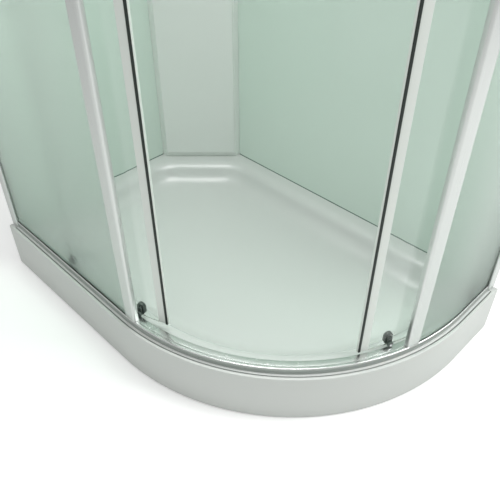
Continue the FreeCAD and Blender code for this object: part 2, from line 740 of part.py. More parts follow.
# screws on the cabin side of each profile
screw_inset = profile_inset + profile_depth
screw_level = RIM + cell("first_screw_level")
groups = {"profile_screws": []}
for body, side in ((left_profile, 1), (right_profile, -1)):
    role = "XZ_Plane" if side > 0 else "YZ_Plane"
    away = 0 - (SOUTH + screw_inset) if side > 0 else EAST - screw_inset
    middle = WEST + profile_width - cell("screw_edge_gap") if side > 0 \
        else NORTH - profile_width + cell("screw_edge_gap")
    screws = new_body("screws_left" if side > 0 else "screws_right")
    for target, name, radius in ((body, "screw_holes", cell("screw_radius")),
                                 (screws, "shanks", cell("screw_radius")),
                                 (screws, "heads", cell("screw_head_radius"))):
        sketch = new_sketch(target, name + "_plan", role, away)
        for step in range(3):
            draw_circle(sketch, (middle, screw_level + spacing * step), radius)
        if name == "screw_holes":
            pocket(target, sketch, cell("screw_length"), name, back=True)
        elif name == "shanks":
            pad(target, sketch, cell("screw_length"), name)
        else:
            pad(target, sketch, cell("screw_head"), name, back=True)
    groups["profile_screws"].append(screws)

# ---- rails and posts ----

rail_inset = cell("rail_inset")
rail_depth = cell("rail_depth")
rail_top = RIM + cell("rail_height")
rail_end = rail_inset + rail_depth
side_play = cell("channel_side")
channel_low = fixed_inset - side_play
channel_high = fixed_inset + fixed_glass + side_play
channel_floor = RIM + cell("channel_floor")
rail_wall = cell("rail_wall")
left_rail = left_run - profile_width
right_rail = right_run - profile_width

rail = new_body("bottom_rail")
outline = [(rail_inset, RIM), (rail_inset, rail_top), (channel_low, rail_top), (channel_low, channel_floor),
           (channel_high, channel_floor), (channel_high, rail_top), (rail_end, rail_top), (rail_end, RIM),
           (rail_end - rail_wall, RIM), (rail_end - rail_wall, rail_top - rail_wall),
           (channel_high + rail_wall, rail_top - rail_wall), (channel_high + rail_wall, RIM)]
bent = front_piece(rail, outline, left_rail, right_rail)
soft = round_edges(rail, bent, cell("rail_round"),
                   lambda middle, edge: near(middle.z, rail_top) and near(inset_of(middle, True), rail_inset),
                   "front_round")
round_edges(rail, soft, cell("rail_inner_round"),
            lambda middle, edge: near(middle.z, rail_top) and near(inset_of(middle, True), rail_end),
            "inner_round")

head_low = TOP - cell("head_height")
shelf = TOP - cell("shelf_drop")
head_wall = cell("head_wall")
shelf_end = channel_high + cell("shelf_depth")
hood_end = rail_inset + cell("hood_depth")
head = new_body("top_rail")
glass_roof = head_low + cell("head_bite")
web = channel_high + head_wall
outline = [(rail_inset, head_low), (channel_low, head_low), (channel_low, glass_roof),
           (channel_high, glass_roof), (channel_high, head_low), (web, head_low), (web, shelf - head_wall),
           (shelf_end, shelf - head_wall), (shelf_end, shelf), (web, shelf), (web, TOP - head_wall),
           (hood_end, TOP - head_wall), (hood_end, TOP), (rail_inset, TOP)]
bent = front_piece(head, outline, left_rail, right_rail)
round_edges(head, bent, cell("rail_round"),
            lambda middle, edge: near(middle.z, TOP) and near(inset_of(middle, True), rail_inset),
            "front_round")

left_post = float(cell("left_post_angle"))
right_post = float(cell("right_post_angle"))
post_middle = RADIUS - cell("post_inset") - cell("post_depth") / 2
post_half_angle = float(spread_angle(cell("post_width") / 2, post_middle))

infill = new_body("rail_infill")
margin = float(cell("infill_margin"))
place(infill, CENTRE_X, CENTRE_Y, 0, -(left_post - margin))
infill_top = rail_top - cell("infill_drop")
arc_piece(infill, [(RADIUS - channel_high, channel_floor), (RADIUS - channel_low, channel_floor),
                   (RADIUS - channel_low, infill_top), (RADIUS - channel_high, infill_top)],
          cell("left_post_angle") - cell("right_post_angle") - cell("infill_margin") * 2, "strip")

bite_angle = float(spread_angle(cell("post_bite"), RADIUS - fixed_inset))
for name, angle, side in (("post_left", left_post, 1), ("post_right", right_post, -1)):
    post = new_body(name)
    place(post, CENTRE_X, CENTRE_Y, rail_top, -angle)
    sketch = new_sketch(post, "post_plan")
    outer_face = RADIUS - cell("post_inset")
    inner_face = outer_face - cell("post_depth")
    half = cell("post_width") / 2
    slot_out = RADIUS - fixed_inset + play
    slot_in = RADIUS - fixed_inset - fixed_glass - play
    base = cell("post_bite") + seat
    if side > 0:
        points = [(inner_face, -half), (slot_in, -half), (slot_in, base - half), (slot_out, base - half),
                  (slot_out, -half), (outer_face, -half), (outer_face, half), (inner_face, half)]
    else:
        points = [(inner_face, -half), (outer_face, -half), (outer_face, half), (slot_out, half),
                  (slot_out, half - base), (slot_in, half - base), (slot_in, half), (inner_face, half)]
    draw_polygon(sketch, points)
    column_pad = pad(post, sketch, head_low - rail_top, "column")
    free = 1 if side > 0 else -1
    soft = round_edges(post, column_pad, cell("post_round"),
                       lambda middle, edge: upright(edge) and near(middle.x, outer_face)
                       and near(middle.y * free, half), "free_edge")
    round_edges(post, soft, cell("post_small_round"),
                lambda middle, edge: upright(edge)
                and (near(middle.x, outer_face) and near(middle.y * free, -half)
                     or near(middle.x, inner_face) and near(middle.y * free, half)), "small_edges")

# ---- fixed glass and the strips that it stands in ----

glass_low = channel_floor + cell("strip_floor")
glass_high = head_low + cell("head_bite") - cell("strip_floor")
left_end = left_post + post_half_angle - bite_angle
right_end = right_post - post_half_angle + bite_angle
straight_left = left_rail + profile_bite
straight_right = right_rail + profile_bite
strip_left = left_post + post_half_angle + 0.05
strip_right = right_post - post_half_angle - 0.05


def fixed_panel(name, side, angle, run):
    """An upright sheet that runs straight from a wall and then round the first part of the arc."""
    body = new_body(name)
    place(body, CENTRE_X, CENTRE_Y)
    if side > 0:
        sketch = new_sketch(body, "section", "YZ_Plane")
        draw_box(sketch, -sheet_out, glass_low, -sheet_in, glass_high)
    else:
        sketch = new_sketch(body, "section", "XZ_Plane")
        draw_box(sketch, sheet_in, glass_low, sheet_out, glass_high)
    pad(body, sketch, run, "straight", back=True)
    revolve(body, sketch, angle, "bent", back=side < 0)


sheet_out = RADIUS - fixed_inset
sheet_in = sheet_out - fixed_glass
fixed_panel("fixed_glass_left", 1, 90 - left_end, straight_left)
fixed_panel("fixed_glass_right", -1, right_end, straight_right)

strips = new_body("glazing_strips")
place(strips, CENTRE_X, CENTRE_Y)
strip_top = rail_top + cell("strip_stand")
for side, angle, run in ((1, 90 - strip_left, left_rail), (-1, strip_right, right_rail)):
    low_in = RADIUS - channel_high
    low_out = RADIUS - channel_low
    section = [(low_in, channel_floor), (low_out, channel_floor), (low_out, strip_top),
               (sheet_out, strip_top), (sheet_out, glass_low), (sheet_in, glass_low),
               (sheet_in, strip_top), (low_in, strip_top)]
    name = "left" if side > 0 else "right"
    if side > 0:
        section = [(-x, z) for x, z in section]
    sketch = new_sketch(strips, "section_" + name, "YZ_Plane" if side > 0 else "XZ_Plane")
    draw_polygon(sketch, section)
    pad(strips, sketch, run, "straight_" + name, back=True)
    revolve(strips, sketch, angle, "bent_" + name, back=side < 0)

# ---- the sliding doors ----

door_inset = cell("door_glass_inset")
door_glass = cell("door_glass")
door_radius = RADIUS - door_inset - door_glass / 2
meeting = float(cell("meeting_angle"))
door_low = cell("door_bottom")
door_high = shelf - head_wall - cell("door_head_gap")
lead_gap = cell("meeting_gap") / 2
lip_end = lead_gap + cell("lip_width")
magnet_end = lip_end + cell("magnet_width")
carrier_end = magnet_end + cell("carrier_width")
glass_start = carrier_end - cell("carrier_bite")
door_end = cell("door_arc")
front_roller = cell("front_roller_arc")
rear_roller = front_roller + cell("roller_spacing_arc")


def turned_point(point, degrees):
    """A plan point turned about the origin."""
    angle = math.radians(degrees)
    return (point[0] * math.cos(angle) - point[1] * math.sin(angle),
            point[0] * math.sin(angle) + point[1] * math.cos(angle))


def arc_point(angle, inset):
    """A plan point at an angle below +X on the front arc, at an inset."""
    reach_out = float(RADIUS) - inset
    return (float(CENTRE_X) + reach_out * math.cos(math.radians(angle)),
            float(CENTRE_Y) - reach_out * math.sin(math.radians(angle)))


def door_motion(side):
    """The turn that carries a closed door to its open place, and the pole in the plan that it turns about."""
    closed_inset = float(RADIUS - door_radius)
    open_inset = closed_inset + float(cell("open_inset_shift"))
    front_angle = meeting + side * float(spread_angle(front_roller, door_radius))
    rear_angle = meeting + side * float(spread_angle(rear_roller, door_radius))
    front_shut = arc_point(front_angle, closed_inset)
    rear_shut = arc_point(rear_angle, closed_inset)
    span = math.dist(front_shut, rear_shut)
    if side > 0:
        front_open = arc_point(float(cell("left_open_angle")), open_inset)
        level = float(SOUTH) + open_inset
        rear_open = (front_open[0] - math.sqrt(span ** 2 - (front_open[1] - level) ** 2), level)
    else:
        front_open = arc_point(float(cell("right_open_angle")), open_inset)
        level = float(EAST) - open_inset
        rear_open = (level, front_open[1] + math.sqrt(span ** 2 - (front_open[0] - level) ** 2))
    shut_angle = math.atan2(front_shut[1] - rear_shut[1], front_shut[0] - rear_shut[0])
    open_angle = math.atan2(front_open[1] - rear_open[1], front_open[0] - rear_open[0])
    turn = math.degrees(shut_angle - open_angle)
    turn = (turn + 180) % 360 - 180
    moved = (front_shut[0] - front_open[0], front_shut[1] - front_open[1])
    middle = ((front_shut[0] + front_open[0]) / 2, (front_shut[1] + front_open[1]) / 2)
    factor = 2 * math.tan(math.radians(turn) / 2)
    pole = (middle[0] - moved[1] / factor, middle[1] + moved[0] / factor)
    return turn, pole


def door_place(body, side, local_turn, radius=0.0, up=0):
    """Put a body built about the arc's centre, or at a point out along its radius, on the open door."""
    turn, pole = door_motion(side)
    angle = math.radians(local_turn)
    spot = (float(CENTRE_X) + float(radius) * math.cos(angle),
            float(CENTRE_Y) + float(radius) * math.sin(angle))
    offset = turned_point((spot[0] - pole[0], spot[1] - pole[1]), -turn)
    body.Placement = FreeCAD.Placement(Vector(pole[0] + offset[0], pole[1] + offset[1], float(up)),
                                       FreeCAD.Rotation(Vector(0, 0, 1), local_turn - turn))


def door_arc(name, side, start, end, inner, outer, low, high):
    """A curved upright piece of a door between two arc lengths from the meeting edge."""
    body = new_body(name)
    near_angle = float(spread_angle(start, door_radius))
    far_angle = float(spread_angle(end, door_radius))
    begin = -(meeting + far_angle) if side > 0 else -(meeting - near_angle)
    door_place(body, side, begin)
    arc_piece(body, [(inner, low), (outer, low), (outer, high), (inner, high)],
              spread_angle(end - start, door_radius), "curved")
    return body


glass_out = door_radius + door_glass / 2
glass_in = door_radius - door_glass / 2
carrier_wall = cell("carrier_wall")
strip_low = door_low - cell("drip_drop")

sides = ((1, "left"), (-1, "right"))
handle_low = cell("handle_middle") - cell("handle_spread") / 2
handle_high = cell("handle_middle") + cell("handle_spread") / 2
hanger_level = door_high - cell("hanger_hole_drop")
pane_span = float(spread_angle(door_end, door_radius))
pane_start = float(spread_angle(glass_start, door_radius))

for side, word in sides:
    pane = door_arc("door_glass_" + word, side, glass_start, door_end, glass_in, glass_out,
                    door_low, door_high)
    roller_hole = cell("glass_hole_radius")
    handle_hole = cell("handle_hole_radius")
    holes = [(front_roller, cell("clamp_level"), roller_hole),
             (rear_roller, cell("clamp_level"), roller_hole),
             (front_roller, hanger_level, roller_hole), (rear_roller, hanger_level, roller_hole),
             (cell("handle_arc"), handle_low, handle_hole),
             (cell("handle_arc"), handle_high, handle_hole)]
    for number, (arc, level, radius) in enumerate(holes):
        away = float(spread_angle(arc, door_radius))
        local = pane_span - away if side > 0 else away - pane_start
        facing = FreeCAD.Rotation(Vector(0, 1, 0), local + 90)
        sketch = new_sketch(pane, "hole_plan_%d" % number, "XZ_Plane")
        inner_side = facing.multVec(Vector(0, 0, float(door_radius - door_glass)))
        sketch.AttachmentOffset = FreeCAD.Placement(inner_side, facing)
        draw_circle(sketch, (0, level), radius)
        pocket(pane, sketch, door_glass * 2, "hole_%d" % number, back=True)
    carrier = door_arc("seal_carrier_" + word, side, magnet_end, carrier_end, glass_in - carrier_wall,
                       glass_out + carrier_wall, door_low, door_high)
    sketch = new_sketch(carrier, "groove_outline", "XZ_Plane")
    groove_play = cell("groove_play")
    draw_box(sketch, glass_in - groove_play, door_low - 1, glass_out + groove_play, door_high + 1)
    groove = carrier.newObject("PartDesign::Groove", "glass_groove")
    groove.Profile = sketch
    groove.ReferenceAxis = (sketch, ["V_Axis"])
    groove.Angle = 1
    bind(groove, "Angle", spread_angle(carrier_end - glass_start, door_radius))
    if side < 0:
        far = float(spread_angle(carrier_end - magnet_end, door_radius))
        sketch.AttachmentOffset = FreeCAD.Placement(Vector(0, 0, 0), FreeCAD.Rotation(Vector(0, 1, 0), far))
        groove.Reversed = True
    magnet = cell("magnet_depth") / 2
    door_arc("magnet_strip_" + word, side, lip_end, magnet_end, door_radius - magnet, door_radius + magnet,
             door_low, door_high)
    lip_half = cell("lip_depth") / 2
    door_arc("seal_lip_" + word, side, lead_gap, lip_end, door_radius - lip_half, door_radius + lip_half,
             door_low, door_high)
    door_arc("drip_strip_" + word, side, carrier_end + seat, door_end, glass_in, glass_out,
             door_low - cell("drip_drop"), door_low)

# ---- rollers and handles: x along the door, y outwards, z up, from the middle of the glass ----

half_glass = door_glass / 2
body_face = half_glass + cell("clamp_play")
pin = cell("pin_radius")
bore_radius = pin + cell("pin_play")
head_radius = cell("pin_head_radius")
bottom_axle = rail_top + cell("bottom_wheel_radius")
top_axle = shelf + cell("top_wheel_radius")
wheel_half = cell("wheel_width") / 2
stand = cell("button_stand")
body_back = body_face + cell("body_depth")
arm_out = body_face + cell("arm_depth")


def door_mount(body, side, arc):
    """Put a body on the open door at an arc length from the meeting edge, with its y pointing outwards."""
    local = -(meeting + side * float(spread_angle(arc, door_radius)))
    door_place(body, side, local, door_radius)
    body.Placement = FreeCAD.Placement(body.Placement.Base,
                                       FreeCAD.Rotation(Vector(0, 0, 1), local - 90 - door_motion(side)[0]))


def cross_sketch(body, name, high):
    """A sketch in x and z that faces the glass, at y = high."""
    return new_sketch(body, name + "_plan", "XZ_Plane", -as_size(high))


def cross_disc(body, name, low, high, level, radius):
    """A round boss through the glass direction, from y = low to y = high."""
    sketch = cross_sketch(body, name, high)
    draw_circle(sketch, (0, level), radius)
    return pad(body, sketch, as_size(high) - low, name)


def cross_hole(body, name, low, high, level, radius):
    sketch = cross_sketch(body, name, low)
    draw_circle(sketch, (0, level), radius)
    return pocket(body, sketch, as_size(high) - low, name)


def cross_slot(body, name, low, high, bottom, top, radius):
    """An upright oval plate from y = low to y = high."""
    sketch = cross_sketch(body, name, high)
    draw_slot(sketch, as_size(0), bottom + radius, top - radius, radius)
    return pad(body, sketch, as_size(high) - low, name)


def wheel_and_pin(word, number, place_name, level, radius, offset, pin_start):
    """A wheel on its own pin; the pin has a head outside the wheel and a collar inside it."""
    wheel = new_body("%s_wheel_%s_%d" % (place_name, word, number))
    cross_disc(wheel, "disc", offset - wheel_half, offset + wheel_half, level, radius)
    cross_hole(wheel, "bore", offset - wheel_half, offset + wheel_half, level, bore_radius)
    axle = new_body("%s_pin_%s_%d" % (place_name, word, number))
    end = offset + wheel_half + cell("wheel_gap")
    cross_disc(axle, "pin", pin_start, end, level, pin)
    cross_disc(axle, "head", end, end + cell("pin_head"), level, head_radius)
    return wheel, axle


for side, word in sides:
    for kind in ("bottom_roller_bodies_", "top_roller_bodies_", "roller_axles_"):
        groups[kind + word] = []
    for number, arc in ((1, front_roller), (2, rear_roller)):
        low = cell("body_start")
        high = low + cell("body_height")
        middle = low + cell("body_height") / 2
        piece = new_body("bottom_body_%s_%d" % (word, number))
        cross_slot(piece, "housing", -body_back, -body_face, low, high, cell("body_width") / 2)
        cross_disc(piece, "stem", -body_face, body_face, cell("clamp_level"), cell("stem_radius"))
        cross_slot(piece, "arm", body_face, arm_out, cell("arm_start"),
                   cell("clamp_level") + cell("arm_width") / 2, cell("arm_width") / 2)
        depth = cell("button_height") - stand + cell("button_travel") + cell("button_play")
        cross_hole(piece, "button_hole", -body_back, -body_back + depth, middle,
                   cell("button_radius") + cell("button_play"))

        button = new_body("release_button_%s_%d" % (word, number))
        inner = -body_back - stand
        block = cross_disc(button, "button", inner, inner + cell("button_height"), middle,
                           cell("button_radius"))
        round_edges(button, block, cell("button_round"), lambda spot, edge: near(spot.y, inner), "soft_edge")

        wheel, axle = wheel_and_pin(word, number, "bottom", bottom_axle, cell("bottom_wheel_radius"),
                                    cell("bottom_wheel_offset"), arm_out)

        hanger = new_body("top_body_%s_%d" % (word, number))
        cheek = cell("hanger_cheek")
        cross_slot(hanger, "plate", -body_face - cheek, -body_face, door_high - cell("hanger_drop"),
                   top_axle + cell("hanger_head"), cell("hanger_width") / 2)
        cross_disc(hanger, "stem", -body_face, body_face, hanger_level, cell("stem_radius"))
        cross_disc(hanger, "clamp_disc", body_face, body_face + cheek, hanger_level,
                   cell("hanger_width") / 2)
        top_wheel, top_pin = wheel_and_pin(word, number, "top", top_axle, cell("top_wheel_radius"),
                                           cell("top_wheel_offset"), -body_face)
        collar_end = cell("top_wheel_offset") - wheel_half - cell("wheel_gap")
        cross_disc(top_pin, "collar", collar_end - cell("pin_head") * 2, collar_end, top_axle, head_radius)

        for part in (piece, button, wheel, axle, hanger, top_wheel, top_pin):
            door_mount(part, side, arc)
        groups["bottom_roller_bodies_" + word].append(piece)
        groups["top_roller_bodies_" + word].append(hanger)
        groups["roller_axles_" + word].append(axle)
        groups["roller_axles_" + word].append(top_pin)

    handle = new_body("handle_" + word)
    handle_out = half_glass + cell("handle_stand") - cell("handle_radius") / 2
    sketch = new_sketch(handle, "bar_plan", offset=cell("handle_middle") - cell("handle_length") / 2)
    draw_circle(sketch, (0, half_glass + cell("handle_stand")), cell("handle_radius"))
    pad(handle, sketch, cell("handle_length"), "bar")
    for name, level in (("low", handle_low), ("high", handle_high)):
        cap_face = half_glass + cell("clamp_play")
        cross_disc(handle, name + "_boss", -cap_face, handle_out, level, cell("handle_boss_radius"))
        cross_disc(handle, name + "_rose", cap_face, cap_face + cell("handle_cap") / 2, level,
                   cell("handle_cap_radius"))
        cross_disc(handle, name + "_cap", -cap_face - cell("handle_cap"), -cap_face, level,
                   cell("handle_cap_radius"))
    door_mount(handle, side, cell("handle_arc"))

# end stops on the head rail's shelf, beyond the open doors' rear wheels
groups["rail_stops"] = []
for side, word in sides:
    rear_angle = meeting + side * float(spread_angle(rear_roller, door_radius))
    rear = arc_point(rear_angle, float(RADIUS - door_radius - cell("top_wheel_offset")))
    turn, pole = door_motion(side)
    moved = turned_point((rear[0] - pole[0], rear[1] - pole[1]), -turn)
    reach_back = cell("top_wheel_radius") + cell("stop_gap")
    stop = new_body("stop_" + word)
    sketch = new_sketch(stop, "stop_plan", offset=shelf)
    shelf_start = channel_high + head_wall
    if side > 0:
        edge = pole[0] + moved[0] - reach_back
        draw_box(sketch, edge - cell("stop_length"), SOUTH + shelf_start,
                 edge, SOUTH + shelf_start + cell("stop_depth"))
    else:
        edge = pole[1] + moved[1] + reach_back
        draw_box(sketch, EAST - shelf_start - cell("stop_depth"), edge,
                 EAST - shelf_start, edge + cell("stop_length"))
    pad(stop, sketch, cell("stop_height"), "stop")
    groups["rail_stops"].append(stop)

for name, members in groups.items():
    together = doc.addObject("Part::Compound", name)
    together.Label = name
    together.Links = members

doc.recompute()

# ---- check every object and write each piece ----

grouped = [member.Name for members in groups.values() for member in members]
faults = [item.Name for item in doc.Objects if "Invalid" in item.State or "Error" in item.State]
if faults:
    raise RuntimeError("objects that did not compute: " + ", ".join(faults))
os.makedirs("parts", exist_ok=True)
pieces = [item for item in doc.Objects
          if item.TypeId in ("PartDesign::Body", "Part::Compound") and item.Name not in grouped]
for item in pieces:
    shape = item.Shape
    if shape.isNull() or not shape.isValid() or shape.Volume <= 0:
        raise RuntimeError("no valid shape: " + item.Label)
for item in pieces:
    item.Shape.exportStep("parts/%s.step" % item.Label)
for side, word in sides:
    turn, pole = door_motion(side)
    print("door %s turns %.4f degrees about X %.3f Y %.3f" % (word, turn, pole[0], pole[1]))
print("%d pieces" % len(pieces))
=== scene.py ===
import json
import math

import bmesh
import bpy
import numpy as np
from bpy.props import FloatProperty, FloatVectorProperty, PointerProperty
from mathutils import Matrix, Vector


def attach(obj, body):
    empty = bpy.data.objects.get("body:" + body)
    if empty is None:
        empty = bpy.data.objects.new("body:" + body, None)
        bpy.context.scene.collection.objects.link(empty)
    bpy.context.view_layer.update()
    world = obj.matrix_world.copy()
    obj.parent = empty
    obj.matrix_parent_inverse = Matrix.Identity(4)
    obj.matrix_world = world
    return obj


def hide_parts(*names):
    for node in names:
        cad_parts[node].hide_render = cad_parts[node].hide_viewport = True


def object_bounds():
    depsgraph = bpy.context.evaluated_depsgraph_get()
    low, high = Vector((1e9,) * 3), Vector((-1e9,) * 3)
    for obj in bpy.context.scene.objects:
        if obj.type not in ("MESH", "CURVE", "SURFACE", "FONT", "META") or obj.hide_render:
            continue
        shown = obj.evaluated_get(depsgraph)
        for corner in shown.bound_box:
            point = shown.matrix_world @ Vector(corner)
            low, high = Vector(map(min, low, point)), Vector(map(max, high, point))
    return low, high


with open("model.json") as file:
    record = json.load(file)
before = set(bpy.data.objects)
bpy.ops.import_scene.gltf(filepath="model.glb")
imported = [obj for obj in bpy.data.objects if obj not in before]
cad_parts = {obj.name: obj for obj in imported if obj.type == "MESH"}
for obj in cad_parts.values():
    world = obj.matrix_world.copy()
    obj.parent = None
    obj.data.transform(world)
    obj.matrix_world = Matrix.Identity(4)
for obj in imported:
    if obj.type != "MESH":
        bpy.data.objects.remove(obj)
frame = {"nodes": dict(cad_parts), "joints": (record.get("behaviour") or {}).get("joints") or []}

bl_info = {
    "name": "Quadrant Shower Enclosure",
    "version": (1, 0, 0),
    "blender": (4, 5, 0),
    "location": "View3D > Sidebar > Shower",
    "description": "An offset quadrant shower enclosure with a low tray and two curved sliding doors",
    "category": "Add Mesh",
}

CAD_LOW, CAD_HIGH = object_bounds()
JOINTS = {joint["name"]: joint for joint in frame["joints"]}
NODES = frame["nodes"]
SLANT = math.sqrt(2)
SIDES = ((1, "left"), (-1, "right"))
UP = np.array([0, 0, 1.0])

# Points nearer than this are one, and the play between the door glass and what is clamped to it.
WELD = 1e-6
FACE_PLAY = 0.0002

# Kinds of shell: whether its rows close in a ring, whether its columns do, whether its ends are capped.
BAR = (False, True, True)
TURNED = (True, False, False)
RING = (True, True, False)


# ---- sizes and colours that a user may change ----

def length(name, description, default):
    """A distance in metres for a property group."""
    return FloatProperty(name=name, description=description, default=default, precision=4,
                         subtype="DISTANCE", unit="LENGTH")


def degrees(name, description, default):
    """An angle for a property group, given in degrees."""
    return FloatProperty(name=name, description=description, default=math.radians(default),
                         subtype="ANGLE", unit="ROTATION")


def colour(name, description, red, green, blue):
    """A colour for a property group, given as display values from 0 to 255."""
    shown = np.array([red, green, blue]) / 255
    plain = np.where(shown <= 0.04045, shown / 12.92, ((shown + 0.055) / 1.055) ** 2.4)
    return FloatVectorProperty(name=name, description=description, default=tuple(plain), size=3,
                               min=0, max=1, subtype="COLOR")


class ShowerTraySizes(bpy.types.PropertyGroup):
    """Sizes of the tray and its front panel."""

    west: length("Left edge", "X of the short wall", CAD_LOW.x)
    east: length("Right edge", "X of the right edge", CAD_HIGH.x)
    south: length("Front edge", "Y of the front edge", CAD_LOW.y)
    north: length("Back edge", "Y of the long wall", CAD_HIGH.y)
    front_radius: length("Front radius", "Radius of the curved front", 0.63)
    rim_level: length("Rim level", "Height of the tray's rim", 0.15)
    shell: length("Floor thickness", "Thickness of the tray under the basin", 0.005)
    wall_rim: length("Wall rim", "Width of the rim along the walls", 0.046)
    front_rim: length("Front rim", "Rim's inner edge from the outline at the front", 0.066)
    corner_cut: length("Corner cut", "Where the basin's cut corner meets the walls", 0.287085)
    basin_depth: length("Basin depth", "Depth below the rim", 0.052)
    basin_slope: length("Basin slope", "Width of the basin's sloping side", 0.062)
    corner_round: length("Corner round", "Radius of the basin's two corners by the column", 0.1)
    front_corner: length("Front corner", "Radius of the basin's corner by the drain", 0.045)
    brim_round: length("Brim round", "Radius of the basin's upper edge", 0.044)
    foot_round: length("Foot round", "Radius where the sides meet the basin's floor", 0.066)
    drain_x: length("Drain X", "Middle of the drain", -0.424)
    drain_y: length("Drain Y", "Middle of the drain", -0.205)
    drain_radius: length("Drain radius", "Radius of the drain hole", 0.045)
    skirt: length("Panel thickness", "Thickness of the front panel", 0.005)
    skirt_lip: length("Panel lip", "Width of the panel's top lip", 0.008)
    skirt_round: length("Panel edge round", "Radius of the panel's top edge", 0.003)
    skirt_foot: length("Panel foot", "Gap between panel and floor", 0.003)
    shadow_gap: length("Shadow gap", "Gap between the panel's lip and the tray", 0.003)
    end_tab: length("End tab", "Length of the lip's tab at each wall", 0.022)


class ShowerFrameSizes(bpy.types.PropertyGroup):
    """Sizes of rails, posts, wall profiles and fixed glass."""

    top: length("Top", "Height of the enclosure", CAD_HIGH.z)
    profile_width: length("Wall profile", "Width of the wall profiles", 0.028)
    rail_inset: length("Rail inset", "Rails' outer face from the tray's outline", 0.0165)
    rail_depth: length("Rail depth", "Depth of the bottom rail", 0.0265)
    rail_height: length("Rail height", "Height of the bottom rail", 0.018)
    rail_wall: length("Rail wall", "Wall thickness of the bottom rail", 0.002)
    rail_round: length("Rail round", "Radius of the rails' outer top edge", 0.0026)
    channel_low: length("Channel outer side", "Glass channel's outer side", 0.0194)
    channel_high: length("Channel inner side", "Glass channel's inner side", 0.0256)
    channel_floor: length("Channel floor", "Height of the channel's floor above the rim", 0.004)
    head_height: length("Head rail height", "Height of the top rail", 0.044)
    head_bite: length("Head rail bite", "How deep the glass stands in the top rail", 0.012)
    head_wall: length("Head rail wall", "Wall thickness of the top rail", 0.003)
    shelf_drop: length("Shelf drop", "Wheel shelf below the top", 0.027)
    shelf_depth: length("Shelf depth", "Depth of the wheel shelf", 0.0152)
    hood_depth: length("Hood depth", "Depth of the top rail's hood", 0.034)
    glass: length("Glass", "Thickness of fixed and door glass", 0.004)
    glass_inset: length("Glass inset", "Fixed glass from the tray's outline", 0.0205)
    post_width: length("Post width", "Width of the posts", 0.034)
    post_inset: length("Post inset", "Posts' outer face from the tray's outline", 0.0172)
    post_depth: length("Post depth", "Depth of the posts", 0.0158)
    post_round: length("Post round", "Radius of the post's free outer edge", 0.0065)
    post_bite: length("Post bite", "How deep the glass stands in a post", 0.0123)
    left_post: degrees("Left post", "Direction of the left post below +X", 87.1)
    right_post: degrees("Right post", "Direction of the right post below +X", 17)


class ShowerDoorSizes(bpy.types.PropertyGroup):
    """Sizes of the sliding doors, measured along the arc from where they meet."""

    inset: length("Door inset", "Door glass's outer face from the tray's outline", 0.044)
    meeting: degrees("Meeting", "Direction of the line where the doors meet, below +X", 54.1)
    bottom: length("Door bottom", "Height of the door glass's lower edge", 0.171)
    head_gap: length("Door head gap", "Door glass's top edge below the wheel shelf", 0.015)
    lead_gap: length("Lead gap", "Half the gap between the closed doors", 0.0003)
    lip: length("Lip", "Width of the seal's soft lip", 0.002)
    lip_depth: length("Lip depth", "Depth of the soft lip", 0.007)
    magnet: length("Magnet", "Width of the magnet strip", 0.006)
    magnet_depth: length("Magnet depth", "Depth of the magnet strip", 0.010)
    carrier: length("Carrier", "Width of the seal carrier", 0.020)
    carrier_wall: length("Carrier wall", "Wall thickness of the seal carrier", 0.0013)
    carrier_bite: length("Carrier bite", "How far the carrier grips the glass", 0.016)
    groove_play: length("Groove play", "Play of the glass in its carrier", 0.0001)
    end: length("Door end", "Arc length to the door's rear edge", 0.438)
    drip: length("Drip strip", "Height of the strip under the door", 0.0023)
    front_roller: length("Front roller", "Arc length to the front rollers", 0.084)
    roller_spacing: length("Roller spacing", "Arc length between rollers", 0.306)
    clamp: length("Glass hole", "Height of the lower roller's glass hole", 0.19)
    handle: length("Handle", "Arc length to the handle", 0.046)


class ShowerColours(bpy.types.PropertyGroup):
    """Colours of the finishes."""

    acrylic: colour("Acrylic", "Tray", 209, 213, 210)
    # Painted shade: the front panel is the tray's acrylic, given a slightly darker colour for its upright
    # face.
    panel: colour("Panel", "Front panel", 205, 209, 205)
    column: colour("Corner column", "Corner column and its plate", 240, 245, 241)
    wall_paint: colour("Wall glass", "Back-painted wall glass", 225, 240, 231)
    glass_edge: colour("Glass edge", "Cut edges of glass", 70, 110, 96)
    clear: colour("Clear glass", "Door glass", 252, 254, 253)
    frosted: colour("Frosted glass", "Fixed glass", 249, 255, 251)
    aluminium: colour("Aluminium", "Satin profiles", 214, 217, 215)
    # Painted shade: a darker colour for the bottom rail's upright faces than for its level ones.
    rail_face_shade: colour("Rail face", "Upright faces of the bottom rail", 164, 171, 166)
    chrome: colour("Chrome", "Polished metal", 208, 210, 211)
    carrier: colour("Seal carrier", "Seal carriers", 226, 232, 226)
    magnet: colour("Magnet", "Magnet strips", 26, 40, 33)
    body: colour("Roller body", "Roller bodies", 66, 76, 71)
    nylon: colour("Nylon", "Wheels", 92, 102, 97)
    steel: colour("Steel", "Galvanised frame", 150, 154, 158)


def settings():
    """The four property groups on the scene: tray, rails, doors, colours."""
    scene = bpy.context.scene
    return scene.shower_tray, scene.shower_rails, scene.shower_doors, scene.shower_colours


def front_centre():
    """Middle of the curved front, in the plan."""
    tray = settings()[0]
    return np.array([tray.east - tray.front_radius, tray.south + tray.front_radius])


# ---- surfaces from whole arrays ----

def grid_faces(rows, columns, ring_rows, ring_columns):
    """The quads between neighbouring rows and columns of a grid of points; a ring closes on itself."""
    index = np.arange(rows * columns).reshape(rows, columns)
    if ring_rows:
        index = np.vstack([index, index[:1]])
    if ring_columns:
        index = np.hstack([index, index[:, :1]])
    corners = [index[:-1, :-1], index[:-1, 1:], index[1:, 1:], index[1:, :-1]]
    return np.stack(corners, axis=-1).reshape(-1, 4)


